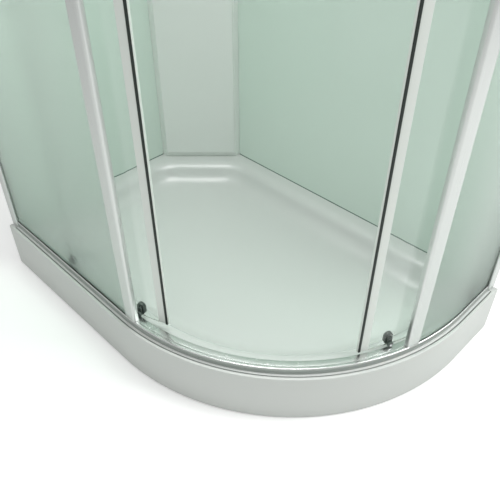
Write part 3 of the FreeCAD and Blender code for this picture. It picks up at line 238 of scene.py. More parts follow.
def build(name, shells, finish, body, node, sharp=32):
    """One piece from shells, each (points[rows, columns, 3], kind), in place of a CAD node."""
    points, faces, start = [], [], 0
    for grid, (ring_rows, ring_columns, capped) in shells:
        rows, columns = grid.shape[:2]
        points.append(grid.reshape(-1, 3))
        faces += (grid_faces(rows, columns, ring_rows, ring_columns) + start).tolist()
        if capped:
            faces.append(list(range(start, start + columns)))
            last = start + (rows - 1) * columns
            faces.append(list(range(last, last + columns)))
        start += rows * columns
    mesh = bpy.data.meshes.new(name)
    mesh.from_pydata(np.concatenate(points).tolist(), [], faces)
    solid = bmesh.new()
    solid.from_mesh(mesh)
    bmesh.ops.remove_doubles(solid, verts=solid.verts, dist=WELD)
    bmesh.ops.dissolve_degenerate(solid, edges=solid.edges, dist=WELD / 10)
    bmesh.ops.recalc_face_normals(solid, faces=solid.faces)
    solid.to_mesh(mesh)
    solid.free()
    mesh.shade_smooth()
    mesh.set_sharp_from_angle(angle=math.radians(sharp))
    piece = bpy.data.objects.new(name, mesh)
    bpy.context.scene.collection.objects.link(piece)
    mesh.materials.append(bpy.data.materials[finish])
    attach(piece, body)
    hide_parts(node)


def rounded(corners, radii, steps=6):
    """A closed outline whose every corner is an arc that touches both of its sides.

    An arc's centre lies on the corner's bisector, radius / sin(half angle) away, and its points turn
    evenly from one touching point to the other.
    """
    corners = np.array(corners, float)
    radii = np.broadcast_to(np.asarray(radii, float), len(corners))[:, None]
    before = np.roll(corners, 1, axis=0) - corners
    after = np.roll(corners, -1, axis=0) - corners
    before /= np.linalg.norm(before, axis=1, keepdims=True)
    after /= np.linalg.norm(after, axis=1, keepdims=True)
    half = np.arccos(np.clip((before * after).sum(1, keepdims=True), -1, 1)) / 2
    middle = before + after
    middle /= np.linalg.norm(middle, axis=1, keepdims=True)
    centre = corners + middle * radii / np.sin(half)
    start = corners + before * radii / np.tan(half) - centre
    end = corners + after * radii / np.tan(half) - centre
    turn = (math.pi - 2 * half)[:, None]
    share = np.linspace(0, 1, steps)[None, :, None]
    arc = np.sin((1 - share) * turn) * start[:, None] + np.sin(share * turn) * end[:, None]
    return (centre[:, None] + arc / np.sin(turn)).reshape(-1, 2)


def oblong(near, low, far, high, radius, steps=6):
    """A rounded four-sided outline."""
    return rounded([(near, low), (far, low), (far, high), (near, high)], radius, steps)


def spokes(angle):
    """Directions in the plan at given angles."""
    return np.stack([np.cos(angle), np.sin(angle)], axis=1)


def front_path(start, end, angles=(-90, 0), runs=14, bends=90):
    """Origins and outward directions along the front: straight, round the arc, straight.

    start is the X where the left run begins, end the Y where the right run ends; None leaves it out.
    """
    centre = front_centre()
    origins, ways = [], []
    if start is not None:
        x = np.linspace(start, centre[0], runs, endpoint=False)
        origins.append(np.stack([x, np.full_like(x, centre[1])], axis=1))
        ways.append(np.tile([0.0, -1.0], (runs, 1)))
    origins.append(np.tile(centre, (bends, 1)))
    ways.append(spokes(np.radians(np.linspace(angles[0], angles[1], bends))))
    if end is not None:
        y = np.linspace(centre[1], end, runs + 1)[1:]
        origins.append(np.stack([np.full_like(y, centre[0]), y], axis=1))
        ways.append(np.tile([1.0, 0.0], (runs, 1)))
    return np.concatenate(origins), np.concatenate(ways)


def carried(path, section, radius):
    """A bar: (inset, height) points carried along a path, each at origin + outward * (radius - inset)."""
    origins, ways = path
    flat = origins[:, None] + ways[:, None] * (radius - section[None, :, :1])
    height = np.broadcast_to(section[None, :, 1:], flat.shape[:2] + (1,))
    return np.concatenate([flat, height], axis=2), BAR


def along_front(path, section):
    """A bar along a path at the front, its section's insets measured from the tray's outline."""
    return carried(path, section, settings()[0].front_radius)


def upright(outline, levels):
    """A bar that stands: a plan outline repeated at each level, so that point = outline + height."""
    levels = np.array(levels, float)
    flat = np.broadcast_to(outline, (len(levels),) + outline.shape)
    height = np.broadcast_to(levels[:, None, None], flat.shape[:2] + (1,))
    return np.concatenate([flat, height], axis=2), BAR


def turned(section, middle, axis, side, up, steps=40):
    """A section of (radius, height) points turned about an axis.

    Each point lies at middle + axis * height + (side * cos + up * sin) * radius.
    """
    angle = np.linspace(0, 2 * math.pi, steps, endpoint=False)
    middle, axis, side, up = (np.array(item, float) for item in (middle, axis, side, up))
    spoke = np.cos(angle)[:, None] * side + np.sin(angle)[:, None] * up
    return middle + section[None, :, 1:] * axis + section[None, :, :1] * spoke[:, None]


# ---- finishes ----

def new_material(name):
    """The node tree of a new material, and its Principled shader."""
    material = bpy.data.materials.new(name)
    material.use_nodes = True
    return material.node_tree, material.node_tree.nodes["Principled BSDF"]


def feed(tree, item, inputs):
    """Gives a node's inputs their values or links."""
    for key, value in inputs.items():
        if isinstance(value, bpy.types.NodeSocket):
            tree.links.new(value, item.inputs[key])
        else:
            item.inputs[key].default_value = value
    return item


def add_node(tree, kind, inputs=None, **values):
    """A shader node with its settings and its inputs."""
    item = tree.nodes.new("ShaderNode" + kind)
    for key, value in values.items():
        setattr(item, key, value)
    return feed(tree, item, inputs or {})


def show(tree, shader):
    """Sends a shader to the material's surface."""
    feed(tree, tree.nodes["Material Output"], {"Surface": shader})


def maths(tree, operation, *values):
    """One operation on values or sockets."""
    return add_node(tree, "Math", dict(enumerate(values)), operation=operation).outputs["Value"]


def ranged(tree, value, low, high, start=0.0, end=1.0):
    """A value between start and end brought to between low and high."""
    return add_node(tree, "MapRange", {"Value": value, "From Min": start, "From Max": end, "To Min": low,
                                       "To Max": high}).outputs["Result"]


def facing(tree, axis):
    """How squarely a surface faces along an axis, from 0 to 1."""
    normal = add_node(tree, "NewGeometry").outputs["Normal"]
    split = add_node(tree, "SeparateXYZ", {"Vector": normal})
    return maths(tree, "ABSOLUTE", split.outputs[axis])


def blended(tree, mask, low, high):
    """A colour between two, by a mask."""
    return add_node(tree, "Mix", {"Factor": mask, 6: low, 7: high}, data_type="RGBA").outputs[2]


def bumped(tree, group, depth, distance):
    """A normal from a group's height."""
    return add_node(tree, "Bump", {"Height": group.outputs["Height"], "Strength": depth,
                                   "Distance": distance}).outputs["Normal"]


def ray_mask(tree, *kinds):
    """1 for rays of either of two kinds, 0 for others."""
    path = add_node(tree, "LightPath")
    return maths(tree, "MAXIMUM", *[path.outputs[kind] for kind in kinds])


def new_group(name, inputs, outputs):
    """A shader node group with named sockets; returns the tree, its input node and its output node."""
    tree = bpy.data.node_groups.new(name, "ShaderNodeTree")
    for label, kind, value in inputs:
        socket = tree.interface.new_socket(name=label, in_out="INPUT", socket_type="NodeSocket" + kind)
        socket.default_value = value
    for label, kind in outputs:
        tree.interface.new_socket(name=label, in_out="OUTPUT", socket_type="NodeSocket" + kind)
    return tree, tree.nodes.new("NodeGroupInput"), tree.nodes.new("NodeGroupOutput")


def tone_group():
    """Broad and fine unevenness: a colour between two tones, a roughness and a height."""
    inputs = [("Light", "Color", (1, 1, 1, 1)), ("Dark", "Color", (0, 0, 0, 1)), ("Broad", "Float", 3.0),
              ("Fine", "Float", 400.0), ("Smooth", "Float", 0.2), ("Rough", "Float", 0.3)]
    tree, given, out = new_group("uneven_tone", inputs,
                                 [("Color", "Color"), ("Roughness", "Float"), ("Height", "Float")])
    place = add_node(tree, "TexCoord")
    broad, fine = [add_node(tree, "TexNoise", {"Vector": place.outputs["Object"], "Detail": detail,
                                               "Scale": given.outputs[scale]})
                   for scale, detail in (("Broad", 3.0), ("Fine", 2.0))]
    tone = blended(tree, broad.outputs["Fac"], given.outputs["Dark"], given.outputs["Light"])
    height = fine.outputs["Fac"]
    rough = ranged(tree, height, given.outputs["Smooth"], given.outputs["Rough"])
    feed(tree, out, {"Color": tone, "Roughness": rough, "Height": height})


def upright_mask_group():
    """1 on faces that stand upright and 0 on level ones, from the surface's own direction."""
    tree, given, out = new_group("upright_mask", [("Soft", "Float", 0.3)], [("Mask", "Float")])
    feed(tree, out, {"Mask": ranged(tree, facing(tree, "Z"), 1.0, 0.0, 0.05, given.outputs["Soft"])})


def brushed_group():
    """Fine lines along a profile: noise stretched by unequal scales, for roughness and height."""
    inputs = [("Stretch", "Vector", (60.0, 60.0, 900.0)), ("Smooth", "Float", 0.2),
              ("Rough", "Float", 0.35)]
    tree, given, out = new_group("brushed_lines", inputs, [("Roughness", "Float"), ("Height", "Float")])
    place = add_node(tree, "TexCoord")
    scaled = add_node(tree, "VectorMath", {0: place.outputs["Object"], 1: given.outputs["Stretch"]},
                      operation="MULTIPLY")
    lines = add_node(tree, "TexNoise", {"Vector": scaled.outputs["Vector"], "Scale": 1.0, "Detail": 3.0})
    height = lines.outputs["Fac"]
    feed(tree, out, {"Roughness": ranged(tree, height, given.outputs["Smooth"], given.outputs["Rough"]),
                     "Height": height})


def use_group(tree, name, **values):
    """Places a node group and sets its named inputs."""
    return add_node(tree, "Group", values, node_tree=bpy.data.node_groups[name])


def full(rgb, factor=1.0):
    """A colour property as red, green, blue, alpha, made lighter or darker."""
    return tuple(min(1.0, part * factor) for part in rgb) + (1.0,)


def solid_finish(name, rgb, smooth, rough, metal, broad, fine, depth, change, coat=0.0, specular=0.5):
    """An opaque finish with slightly uneven tone, roughness and surface."""
    tree, shader = new_material(name)
    tone = use_group(tree, "uneven_tone", Light=full(rgb), Dark=full(rgb, change), Broad=broad, Fine=fine,
                     Smooth=smooth, Rough=rough)
    feed(tree, shader, {
        "Base Color": tone.outputs["Color"], "Roughness": tone.outputs["Roughness"],
        "Normal": bumped(tree, tone, depth, 0.0005), "Metallic": metal, "Coat Weight": coat,
        "Coat Roughness": 0.08, "Specular IOR Level": specular})


def brushed_finish(name, rgb, shaded_face_rgb, stretch, smooth, rough, face_metal=1.0, depth=0.05):
    """Satin metal with fine lines; upright faces may carry painted shade, darker and less metallic than
    level ones.
    """
    tree, shader = new_material(name)
    lines = use_group(tree, "brushed_lines", Stretch=stretch, Smooth=smooth, Rough=rough)
    mask = use_group(tree, "upright_mask", Soft=0.5).outputs["Mask"]
    tone = use_group(tree, "uneven_tone", Light=full(rgb), Dark=full(rgb, 0.95), Broad=5.0)
    feed(tree, shader, {
        # Upright faces take the painted shade colour, level faces the metal's own tone.
        "Base Color": blended(tree, mask, tone.outputs["Color"], full(shaded_face_rgb)),
        "Roughness": lines.outputs["Roughness"], "Normal": bumped(tree, lines, depth, 0.0003),
        "Metallic": ranged(tree, mask, 1.0, face_metal)})


def glass_finish(name, rgb, edge_rgb, smooth, rough, fine, depth, bend, passing):
    """Clear or frosted glass: lamps and soft light pass it as a tinted film, level edges look greener."""
    tree, shader = new_material(name)
    tone = use_group(tree, "uneven_tone", Light=full(rgb), Dark=full(rgb, 0.985 - depth * 0.5), Broad=fine,
                     Fine=fine, Smooth=smooth, Rough=rough)
    mask = use_group(tree, "upright_mask", Soft=0.5).outputs["Mask"]
    feed(tree, shader, {
        "Base Color": blended(tree, mask, full(edge_rgb), tone.outputs["Color"]),
        "Roughness": tone.outputs["Roughness"], "Normal": bumped(tree, tone, depth, 0.0004),
        "Transmission Weight": 1.0, "IOR": bend})
    film = add_node(tree, "BsdfTransparent", {"Color": passing})
    soft = ray_mask(tree, "Is Shadow Ray", "Is Diffuse Ray")
    show(tree, add_node(tree, "MixShader", {0: soft, 1: shader.outputs["BSDF"],
                                            2: film.outputs["BSDF"]}).outputs["Shader"])


def painted_glass(name, rgb, edge_rgb, axis, foot):
    """Back-painted glass: the paint's colour on both faces, dark green cut edges and a thin dark line.

    The faces look along the axis; the line ends between two heights above the foot.
    """
    line_low, line_high = 0.002, 0.004
    tree, shader = new_material(name)
    tone = use_group(tree, "uneven_tone", Light=full(rgb), Dark=full(rgb, 0.96), Broad=1.5, Fine=30.0,
                     Smooth=0.12, Rough=0.2)
    place = add_node(tree, "TexCoord")
    height = add_node(tree, "SeparateXYZ", {"Vector": place.outputs["Object"]})
    above = ranged(tree, height.outputs["Z"], 0.0, 1.0, foot + line_low, foot + line_high)
    mask = maths(tree, "MULTIPLY", facing(tree, axis), above)
    feed(tree, shader, {
        "Base Color": blended(tree, mask, full(edge_rgb), tone.outputs["Color"]),
        "Roughness": tone.outputs["Roughness"], "Specular IOR Level": 0.5})


def dress(node, finish):
    """Gives a CAD node a finish."""
    mesh = NODES[node].data
    mesh.materials.clear()
    mesh.materials.append(bpy.data.materials[finish])


class SHOWER_OT_finishes(bpy.types.Operator):
    """Make the finishes that the pieces wear"""

    bl_idname = "shower.finishes"
    bl_label = "Finishes"

    def execute(self, context):
        tint = settings()[3]
        tone_group()
        upright_mask_group()
        brushed_group()
        # Name, colour, least and most roughness, metal, broad and fine grain, depth, darker tone.
        for row in (
                ("acrylic", tint.acrylic, 0.16, 0.24, 0, 2, 40, 0.02, 0.975, 0.3, 0.4),
                # The panel's colour holds painted shade: a slightly darker copy of the tray's acrylic.
                ("panel", tint.panel, 0.28, 0.38, 0, 2, 60, 0.03, 0.97),
                ("column", tint.column, 0.25, 0.35, 0, 2, 200, 0.02, 0.96),
                ("board", tint.steel, 0.6, 0.8, 0, 30, 500, 0.3, 0.7),
                ("steel", tint.steel, 0.35, 0.6, 1, 60, 300, 0.1, 0.75),
                ("polished", tint.chrome, 0.05, 0.12, 1, 8, 500, 0.01, 0.94),
                ("dark_plastic", tint.body, 0.3, 0.45, 0, 40, 1500, 0.15, 0.8),
                ("nylon", tint.nylon, 0.35, 0.5, 0, 60, 1200, 0.1, 0.9),
                ("rubber", tint.magnet, 0.4, 0.6, 0, 30, 900, 0.2, 0.7),
                ("seal", tint.carrier, 0.3, 0.4, 0, 10, 500, 0.04, 0.96),
                ("drip_plastic", tint.carrier, 0.2, 0.3, 0, 10, 500, 0.04, 0.94),
                ("waste_plastic", tint.nylon, 0.35, 0.5, 0, 10, 300, 0.1, 0.85)):
            solid_finish(*row)
        # The bottom rail's upright faces get painted shade: darker and less metallic than its level faces.
        brushed_finish("rail_metal", tint.aluminium, tint.rail_face_shade, stretch=(40.0, 40.0, 1500.0),
                       smooth=0.18, rough=0.32, face_metal=0.3)
        brushed_finish("post_metal", tint.aluminium, tint.aluminium, stretch=(1500.0, 1500.0, 20.0),
                       smooth=0.22, rough=0.38)
        glass_finish("clear_pane", tint.clear, tint.glass_edge, smooth=0.0, rough=0.01, fine=4.0,
                     depth=0.0, bend=1.35, passing=full((0.93, 0.96, 0.94)))
        glass_finish("frosted_pane", tint.frosted, tint.glass_edge, smooth=0.26, rough=0.34, fine=380.0,
                     depth=0.1, bend=1.3, passing=full((0.85, 0.9, 0.87)))
        for name, node, axis in (("long_wall_glass", "back_wall_glass", "Y"),
                                 ("short_wall_glass", "side_wall_glass", "X")):
            foot = min(corner[2] for corner in NODES[node].bound_box)
            painted_glass(name, tint.wall_paint, tint.glass_edge, axis, foot)
        return {"FINISHED"}


# ---- tray and front panel ----

def plan_ring(wall, front, cut, corner):
    """A closed ring in the tray's plan: walls and front moved inwards, the wall corner cut off.

    The corners are arcs, the front one and the one beside the curved front small enough to leave room
    for the drain and the curve. Every ring has the same number of points, so that rings can be joined
    point to point.
    """
    tray = settings()[0]
    centre = front_centre()
    radius = tray.front_radius - front
    left, back = tray.west + wall, tray.north - wall
    low, right = tray.south + front, tray.east - front
    keys = [(left, low), (centre[0], low), (right, centre[1]), (right, back),
            (tray.west + cut - wall, back), (left, tray.north - cut + wall)]
    steps, sharp, usable = 12, 1e-5, 0.9
    beside = min(corner, (back - centre[1]) * usable)
    arcs = rounded(keys, [min(corner, tray.front_corner), sharp, sharp, beside, corner, corner], steps)
    arcs = arcs.reshape(6, steps, 2)
    front_arc = centre + radius * spokes(np.radians(np.linspace(-90, 0, 91)))

    def between(start, end, count):
        return start + (end - start) * np.linspace(0, 1, count + 2)[1:-1, None]

    return np.concatenate([
        arcs[0], between(arcs[0][-1], front_arc[0], 16), front_arc, between(front_arc[-1], arcs[3][0], 6),
        arcs[3], between(arcs[3][-1], arcs[4][0], 16), arcs[4], between(arcs[4][-1], arcs[5][0], 8),
        arcs[5], between(arcs[5][-1], arcs[0][0], 16)])


def tray_rings():
    """Every ring of the tray's skin, from its lower edge over the rim, down the basin to the drain hole
    and back along the flat underside.

    The basin's side is an S of two arcs, and its floor runs from the last ring of the S to the drain's
    circle in even shares of both.
    """
    tray = settings()[0]
    gap = tray.skirt_lip + tray.shadow_gap
    rim = tray.rim_level
    floor = rim - tray.basin_depth
    drain = np.array([tray.drain_x, tray.drain_y])
    edge_cut, edge_corner, edge_soft, sharp = 0.012, 0.003, 0.002, 0.001
    corner_growth, corner_gain = 0.3, 0.03
    # The S is cut from a closed outline: where that begins and the rim's flat ends, and how far it goes.
    before, flat, past, above = -0.06, 0.01, 0.2, rim + 0.3
    side_end = tray.basin_slope - 0.015
    steps = 16
    rows = []

    def edge_ring(inwards, level):
        rows.append((plan_ring(inwards, gap + inwards, edge_cut + inwards * SLANT, edge_corner), level))

    def basin_ring(inwards, level):
        rows.append((plan_ring(tray.wall_rim + inwards, tray.front_rim + inwards,
                               tray.corner_cut + inwards * SLANT,
                               tray.corner_round + inwards * corner_growth), level))

    def drain_rings(start, shares, level):
        away = start - drain
        circle = drain + away / np.linalg.norm(away, axis=1, keepdims=True) * tray.drain_radius
        for share in shares:
            rows.append((start * (1 - share) + circle * share, level))

    edge_ring(0.0, floor - tray.shell)
    for angle in np.radians([0, 22, 45, 67, 90]):
        edge_ring(edge_soft * (1 - math.cos(angle)), rim - edge_soft * (1 - math.sin(angle)))
    for share in (0.35, 0.7):
        rows.append((plan_ring(tray.wall_rim * share, gap + (tray.front_rim - gap) * share,
                               edge_cut + (tray.corner_cut - edge_cut) * share,
                               edge_corner + corner_gain * share), rim))
    section = rounded([(before, rim), (flat, rim), (side_end, floor), (past, floor), (past, above),
                       (before, above)],
                      [sharp, tray.brim_round, tray.foot_round, sharp, sharp, sharp], steps)
    for inwards, level in section[steps:3 * steps]:
        basin_ring(inwards, level)
    drain_rings(rows[-1][0], (0.2, 0.4, 0.6, 0.8, 0.92, 1), floor)
    drain_rings(rows[0][0], (1, 0.6, 0.3), floor - tray.shell)
    points = np.zeros((len(rows), len(rows[0][0]), 3))
    for number, (ring, level) in enumerate(rows):
        points[number, :, :2] = ring
        points[number, :, 2] = level
    return points


class SHOWER_OT_tray(bpy.types.Operator):
    """Make the moulded tray: rim, sloping sides, floor and drain hole"""

    bl_idname = "shower.tray"
    bl_label = "Tray"

    def execute(self, context):
        build("tray_shell", [(tray_rings(), RING)], "acrylic", "enclosure", "tray_basin",
              sharp=50)
        return {"FINISHED"}


class SHOWER_OT_front_panel(bpy.types.Operator):
    """Make the curved front panel with its rolled lip and end tabs"""

    bl_idname = "shower.front_panel"
    bl_label = "Front panel"

    def execute(self, context):
        tray = settings()[0]
        rim, thick, lip, foot = tray.rim_level, tray.skirt, tray.skirt_lip, tray.skirt_foot
        under = rim - tray.shell
        overlap = 0.0008
        section = rounded([(0, foot), (thick, foot), (thick, under), (lip, under), (lip, rim), (0, rim)],
                          [0.001, 0.001, 0.0005, 0.0006, 0.0012, tray.skirt_round])
        whole = front_path(tray.west, tray.north)
        shells = [along_front(whole, section)]
        tab = oblong(lip - overlap, under, lip + tray.shadow_gap, rim, 0.0002)
        (left_x, left_y), (right_x, right_y) = whole[0][[0, -1]]
        for start, end, way in (((left_x, left_y), (left_x + tray.end_tab, left_y), (0.0, -1.0)),
                                ((right_x, right_y - tray.end_tab), (right_x, right_y), (1.0, 0.0))):
            shells.append(along_front((np.linspace(start, end, 4), np.tile(way, (4, 1))), tab))
        build("front_panel", shells, "panel", "enclosure", "apron_panel")
        return {"FINISHED"}


# ---- rails, posts and fixed glass ----

class SHOWER_OT_rails(bpy.types.Operator):
    """Make the bottom rail, the head rail and the strip in the doorway"""

    bl_idname = "shower.rails"
    bl_label = "Rails"

    def execute(self, context):
        tray, rail, _, _ = settings()
        rim = tray.rim_level
        top = rim + rail.rail_height
        face, near, far = rail.rail_inset, rail.channel_low, rail.channel_high
        end = face + rail.rail_depth
        floor = rim + rail.channel_floor
        wall = rail.rail_wall
        path = front_path(tray.west + rail.profile_width, tray.north - rail.profile_width)
        section = rounded(
            [(face, rim), (face, top), (near, top), (near, floor), (far, floor), (far, top), (end, top),
             (end, rim), (end - wall, rim), (end - wall, top - wall), (far + wall, top - wall),
             (far + wall, rim)],
            [0.0003, rail.rail_round, 0.0002, 0.0003, 0.0003, 0.0004, 0.0015, 0.0002, 0.0002, 0.0003,
             0.0003, 0.0002])
        build("rail_bottom", [along_front(path, section)], "rail_metal", "enclosure", "bottom_rail")

        high = rail.top
        low = high - rail.head_height
        shelf = high - rail.shelf_drop
        wall = rail.head_wall
        roof = low + rail.head_bite
        web = far + wall
        shelf_end = far + rail.shelf_depth
        hood_end = face + rail.hood_depth
        section = rounded(
            [(face, low), (near, low), (near, roof), (far, roof), (far, low), (web, low),
             (web, shelf - wall), (shelf_end, shelf - wall), (shelf_end, shelf), (web, shelf),
             (web, high - wall), (hood_end, high - wall), (hood_end, high), (face, high)],
            [0.0005] * 13 + [rail.rail_round])
        build("rail_head", [along_front(path, section)], "post_metal", "enclosure", "top_rail")

        strip_drop, margin_degrees = 0.0006, 0.3
        left = math.degrees(rail.left_post) - margin_degrees
        right = math.degrees(rail.right_post) + margin_degrees
        path = front_path(None, None, (-left, -right))
        section = oblong(near, floor, far, top - strip_drop, 0.0004)
        build("rail_strip", [along_front(path, section)], "rail_metal", "enclosure", "rail_infill")
        return {"FINISHED"}


def post_outline(angle, side):
    """A post's plan: a box with a slot for the glass and a rounded free edge, turned to its place.

    Points are (distance out from the arc's centre, distance along the arc), turned by the angle.
    """
    tray, rail, _, _ = settings()
    outer = tray.front_radius - rail.post_inset
    inner = outer - rail.post_depth
    half = rail.post_width / 2
    base = rail.post_bite - half
    play = 0.0004
    slot_out = tray.front_radius - rail.glass_inset + play
    slot_in = tray.front_radius - rail.glass_inset - rail.glass - play
    points = [(inner, -half), (slot_in, -half), (slot_in, base), (slot_out, base), (slot_out, -half),
              (outer, -half), (outer, half), (inner, half)]
    radii = [0.0015, 0.0003, 0.0003, 0.0003, 0.0003, 0.0015, rail.post_round, 0.002]
    local = rounded(points, radii, 9)
    local[:, 1] *= side
    turn = np.array([[math.cos(-angle), math.sin(-angle)], [-math.sin(-angle), math.cos(-angle)]])
    return front_centre() + local @ turn


class SHOWER_OT_posts(bpy.types.Operator):
    """Make the two posts that end the fixed glass"""

    bl_idname = "shower.posts"
    bl_label = "Posts"

    def execute(self, context):
        tray, rail, _, _ = settings()
        low = tray.rim_level + rail.rail_height
        high = rail.top - rail.head_height
        for side, word in SIDES:
            angle = rail.left_post if side > 0 else rail.right_post
            shell = upright(post_outline(angle, side), np.linspace(low, high, 5))
            post = "post_" + word
            build(post + "_profile", [shell], "post_metal", "enclosure", post)
        return {"FINISHED"}


class SHOWER_OT_fixed_glass(bpy.types.Operator):
    """Make the two frosted panels and the strips that they stand in"""

    bl_idname = "shower.fixed_glass"
    bl_label = "Fixed glass"

    def execute(self, context):
        tray, rail, _, _ = settings()
        play, post_bite, profile_bite, strip_rise = 0.002, 0.012, 0.012, 0.0006
        gap_degrees = 0.05
        floor = tray.rim_level + rail.channel_floor
        low = floor + play
        high = rail.top - rail.head_height + rail.head_bite - play
        inner, outer = rail.channel_high, rail.channel_low
        near, far = rail.glass_inset, rail.glass_inset + rail.glass
        pane = oblong(near, low, far, high, 0.0004, 3)
        strip_top = tray.rim_level + rail.rail_height + strip_rise
        strip = rounded([(inner, floor), (outer, floor), (outer, strip_top), (near, strip_top),
                         (near, low), (far, low), (far, strip_top), (inner, strip_top)], 0.0002, 3)
        middle = tray.front_radius - rail.post_inset - rail.post_depth / 2
        half = math.degrees(rail.post_width / 2 / middle)
        bite = math.degrees(post_bite / (tray.front_radius - near))
        left = math.degrees(rail.left_post) + half
        right = math.degrees(rail.right_post) - half
        start = tray.west + rail.profile_width
        end = tray.north - rail.profile_width
        shells = []
        for side, word in SIDES:
            if side > 0:
                path = front_path(start - profile_bite, None, (-90, -(left - bite)), bends=12)
                strip_path = front_path(start, None, (-90, -(left + gap_degrees)), bends=8)
            else:
                path = front_path(None, end + profile_bite, (-(right + bite), 0), bends=40)
                strip_path = front_path(None, end, (-(right - gap_degrees), 0), bends=40)
            build("glass_" + word, [along_front(path, pane)], "frosted_pane", "enclosure",
                  "fixed_glass_" + word)
            shells.append(along_front(strip_path, strip))
        build("glass_strips", shells, "rubber", "enclosure", "glazing_strips")
        return {"FINISHED"}


# ---- sliding doors ----

def door_radius():
    """Radius of the middle of the door glass."""
    tray, rail, door, _ = settings()
    return tray.front_radius - door.inset - rail.glass / 2


def door_swing(side):
    """Turn in radians from open to closed, and the pole in the plan, from the door's joint."""
    joint = JOINTS["door_left_travel" if side > 0 else "door_right_travel"]
    turn = math.radians(joint["range_deg"][1]) * joint["axis"][2]
    return turn, np.array(joint["pos_m"][:2])


def door_centre(side):
    """Middle of the open door's arc."""
    turn, pole = door_swing(side)
    back = np.array([[math.cos(turn), math.sin(turn)], [-math.sin(turn), math.cos(turn)]])
    return pole + back @ (front_centre() - pole)


def door_angle(side, arc):
    """Direction outwards at an arc length from the meeting edge of the open door."""
    door = settings()[2]
    return -(door.meeting + side * arc / door_radius()) - door_swing(side)[0]


def door_path(side, start, end, count):
    """Origins and outward directions along an open door between two arc lengths."""
    ways = spokes(door_angle(side, np.linspace(start, end, count)))
    return np.tile(door_centre(side), (count, 1)), ways


def door_plan(side, outline):
    """(arc length, distance out from the middle of the glass) points of an open door, in the plan."""
    reach = door_radius() + outline[:, 1:]
    return door_centre(side) + reach * spokes(door_angle(side, outline[:, 0]))


def door_axes(side, arc):
    """Middle of the glass, direction along the door and direction outwards, at an arc length."""
    angle = float(door_angle(side, arc))
    outwards = np.array([math.cos(angle), math.sin(angle), 0])
    along = np.array([math.sin(angle), -math.cos(angle), 0])
    spot = door_centre(side) + door_radius() * outwards[:2]
    return np.array([spot[0], spot[1], 0]), along, outwards


def door_levels():
    """Lower and upper edge of the door glass."""
    _, rail, door, _ = settings()
    return door.bottom, rail.top - rail.shelf_drop - rail.head_wall - door.head_gap


class SHOWER_OT_seals(bpy.types.Operator):
    """Make each door's seal carrier, magnet strip, soft lip and drip strip"""

    bl_idname = "shower.seals"
    bl_label = "Seals"

    def execute(self, context):
        _, rail, door, _ = settings()
        low, high = door_levels()
        levels = np.linspace(low, high, 3)
        half = rail.glass / 2
        lip_end = door.lead_gap + door.lip
        magnet_end = lip_end + door.magnet
        end = magnet_end + door.carrier
        grip = end - door.carrier_bite
        outer = half + door.carrier_wall
        inner = half + door.groove_play
        carrier = rounded([(magnet_end, -outer), (end, -outer), (end, -inner), (grip, -inner),
                           (grip, inner), (end, inner), (end, outer), (magnet_end, outer)],
                          [0.0008, 0.0004, 0.0004, 0.0003, 0.0003, 0.0004, 0.0004, 0.0008], 5)
        deep = door.magnet_depth / 2
        magnet = oblong(lip_end, -deep, magnet_end, deep, 0.0012)
        deep = door.lip_depth / 2
        lip = oblong(door.lead_gap, -deep, lip_end, deep, 0.0008)
        drip = oblong(-half, low - door.drip, half, low, 0.0005, 4)
        drip_play = 0.0003
        for side, word in SIDES:
            for name, outline, finish, node, slot in (
                    ("carrier_", carrier, "seal", "seal_carrier_", "seal_plastic"),
                    ("magnet_", magnet, "rubber", "magnet_strip_", "magnet_rubber"),
                    ("lip_", lip, "seal", "seal_lip_", "seal_plastic")):
                build(name + word, [upright(door_plan(side, outline), levels)], finish, "door_" + word,
                      node + word)
            path = door_path(side, end + drip_play, door.end, 60)
            build("drip_" + word, [carried(path, drip, door_radius())], "drip_plastic", "door_" + word,
                  "drip_strip_" + word)
        return {"FINISHED"}


def oval_block(axes, low, high, radius, near, far, soft):
    """An upright oval block between two distances from the glass, its long edges rounded.

    Round the oval: half circles about two centres; across it: a quarter circle of the soft radius at
    each face, so that the oval shrinks by soft * (1 - cos) while it moves out by soft * sin.
    """
    spot, along, outwards = axes
    angle = np.concatenate([np.linspace(0, math.pi, 24), np.linspace(math.pi, 2 * math.pi, 24)])
    centre = np.where(np.arange(48) < 24, high - radius, low + radius)
    turn = np.linspace(0, math.pi / 2, 6)
    shrink = np.concatenate([soft * (1 - np.cos(turn[::-1])), soft * (1 - np.cos(turn))])
    out = np.concatenate([near + soft * (1 - np.sin(turn[::-1])), far - soft * (1 - np.sin(turn))])
    reach = radius - shrink[:, None]
    flat = spot + out[:, None, None] * outwards + (reach * np.cos(angle))[:, :, None] * along
    flat[:, :, 2] += centre + reach * np.sin(angle)
    return flat, BAR


def disc_section(radius, start, end, soft, hole=0.0):
    """A disc's outline with rounded rims, from its middle or hole out and back."""
    turn = np.linspace(0, math.pi / 2, 5)
    first = np.stack([radius - soft + soft * np.sin(turn), start + soft - soft * np.cos(turn)], axis=1)
    last = np.stack([radius - soft + soft * np.cos(turn), end - soft + soft * np.sin(turn)], axis=1)
    return np.concatenate([[(hole, start)], first, last, [(hole, end)]])


def disc(axes, height, radius, start, end, soft, steps):
    """A disc or pin at a height, across the glass between two distances from it."""
    spot, along, outwards = axes
    section = disc_section(radius, start, end, soft)
    return turned(section, spot + UP * height, outwards, along, UP, steps), TURNED


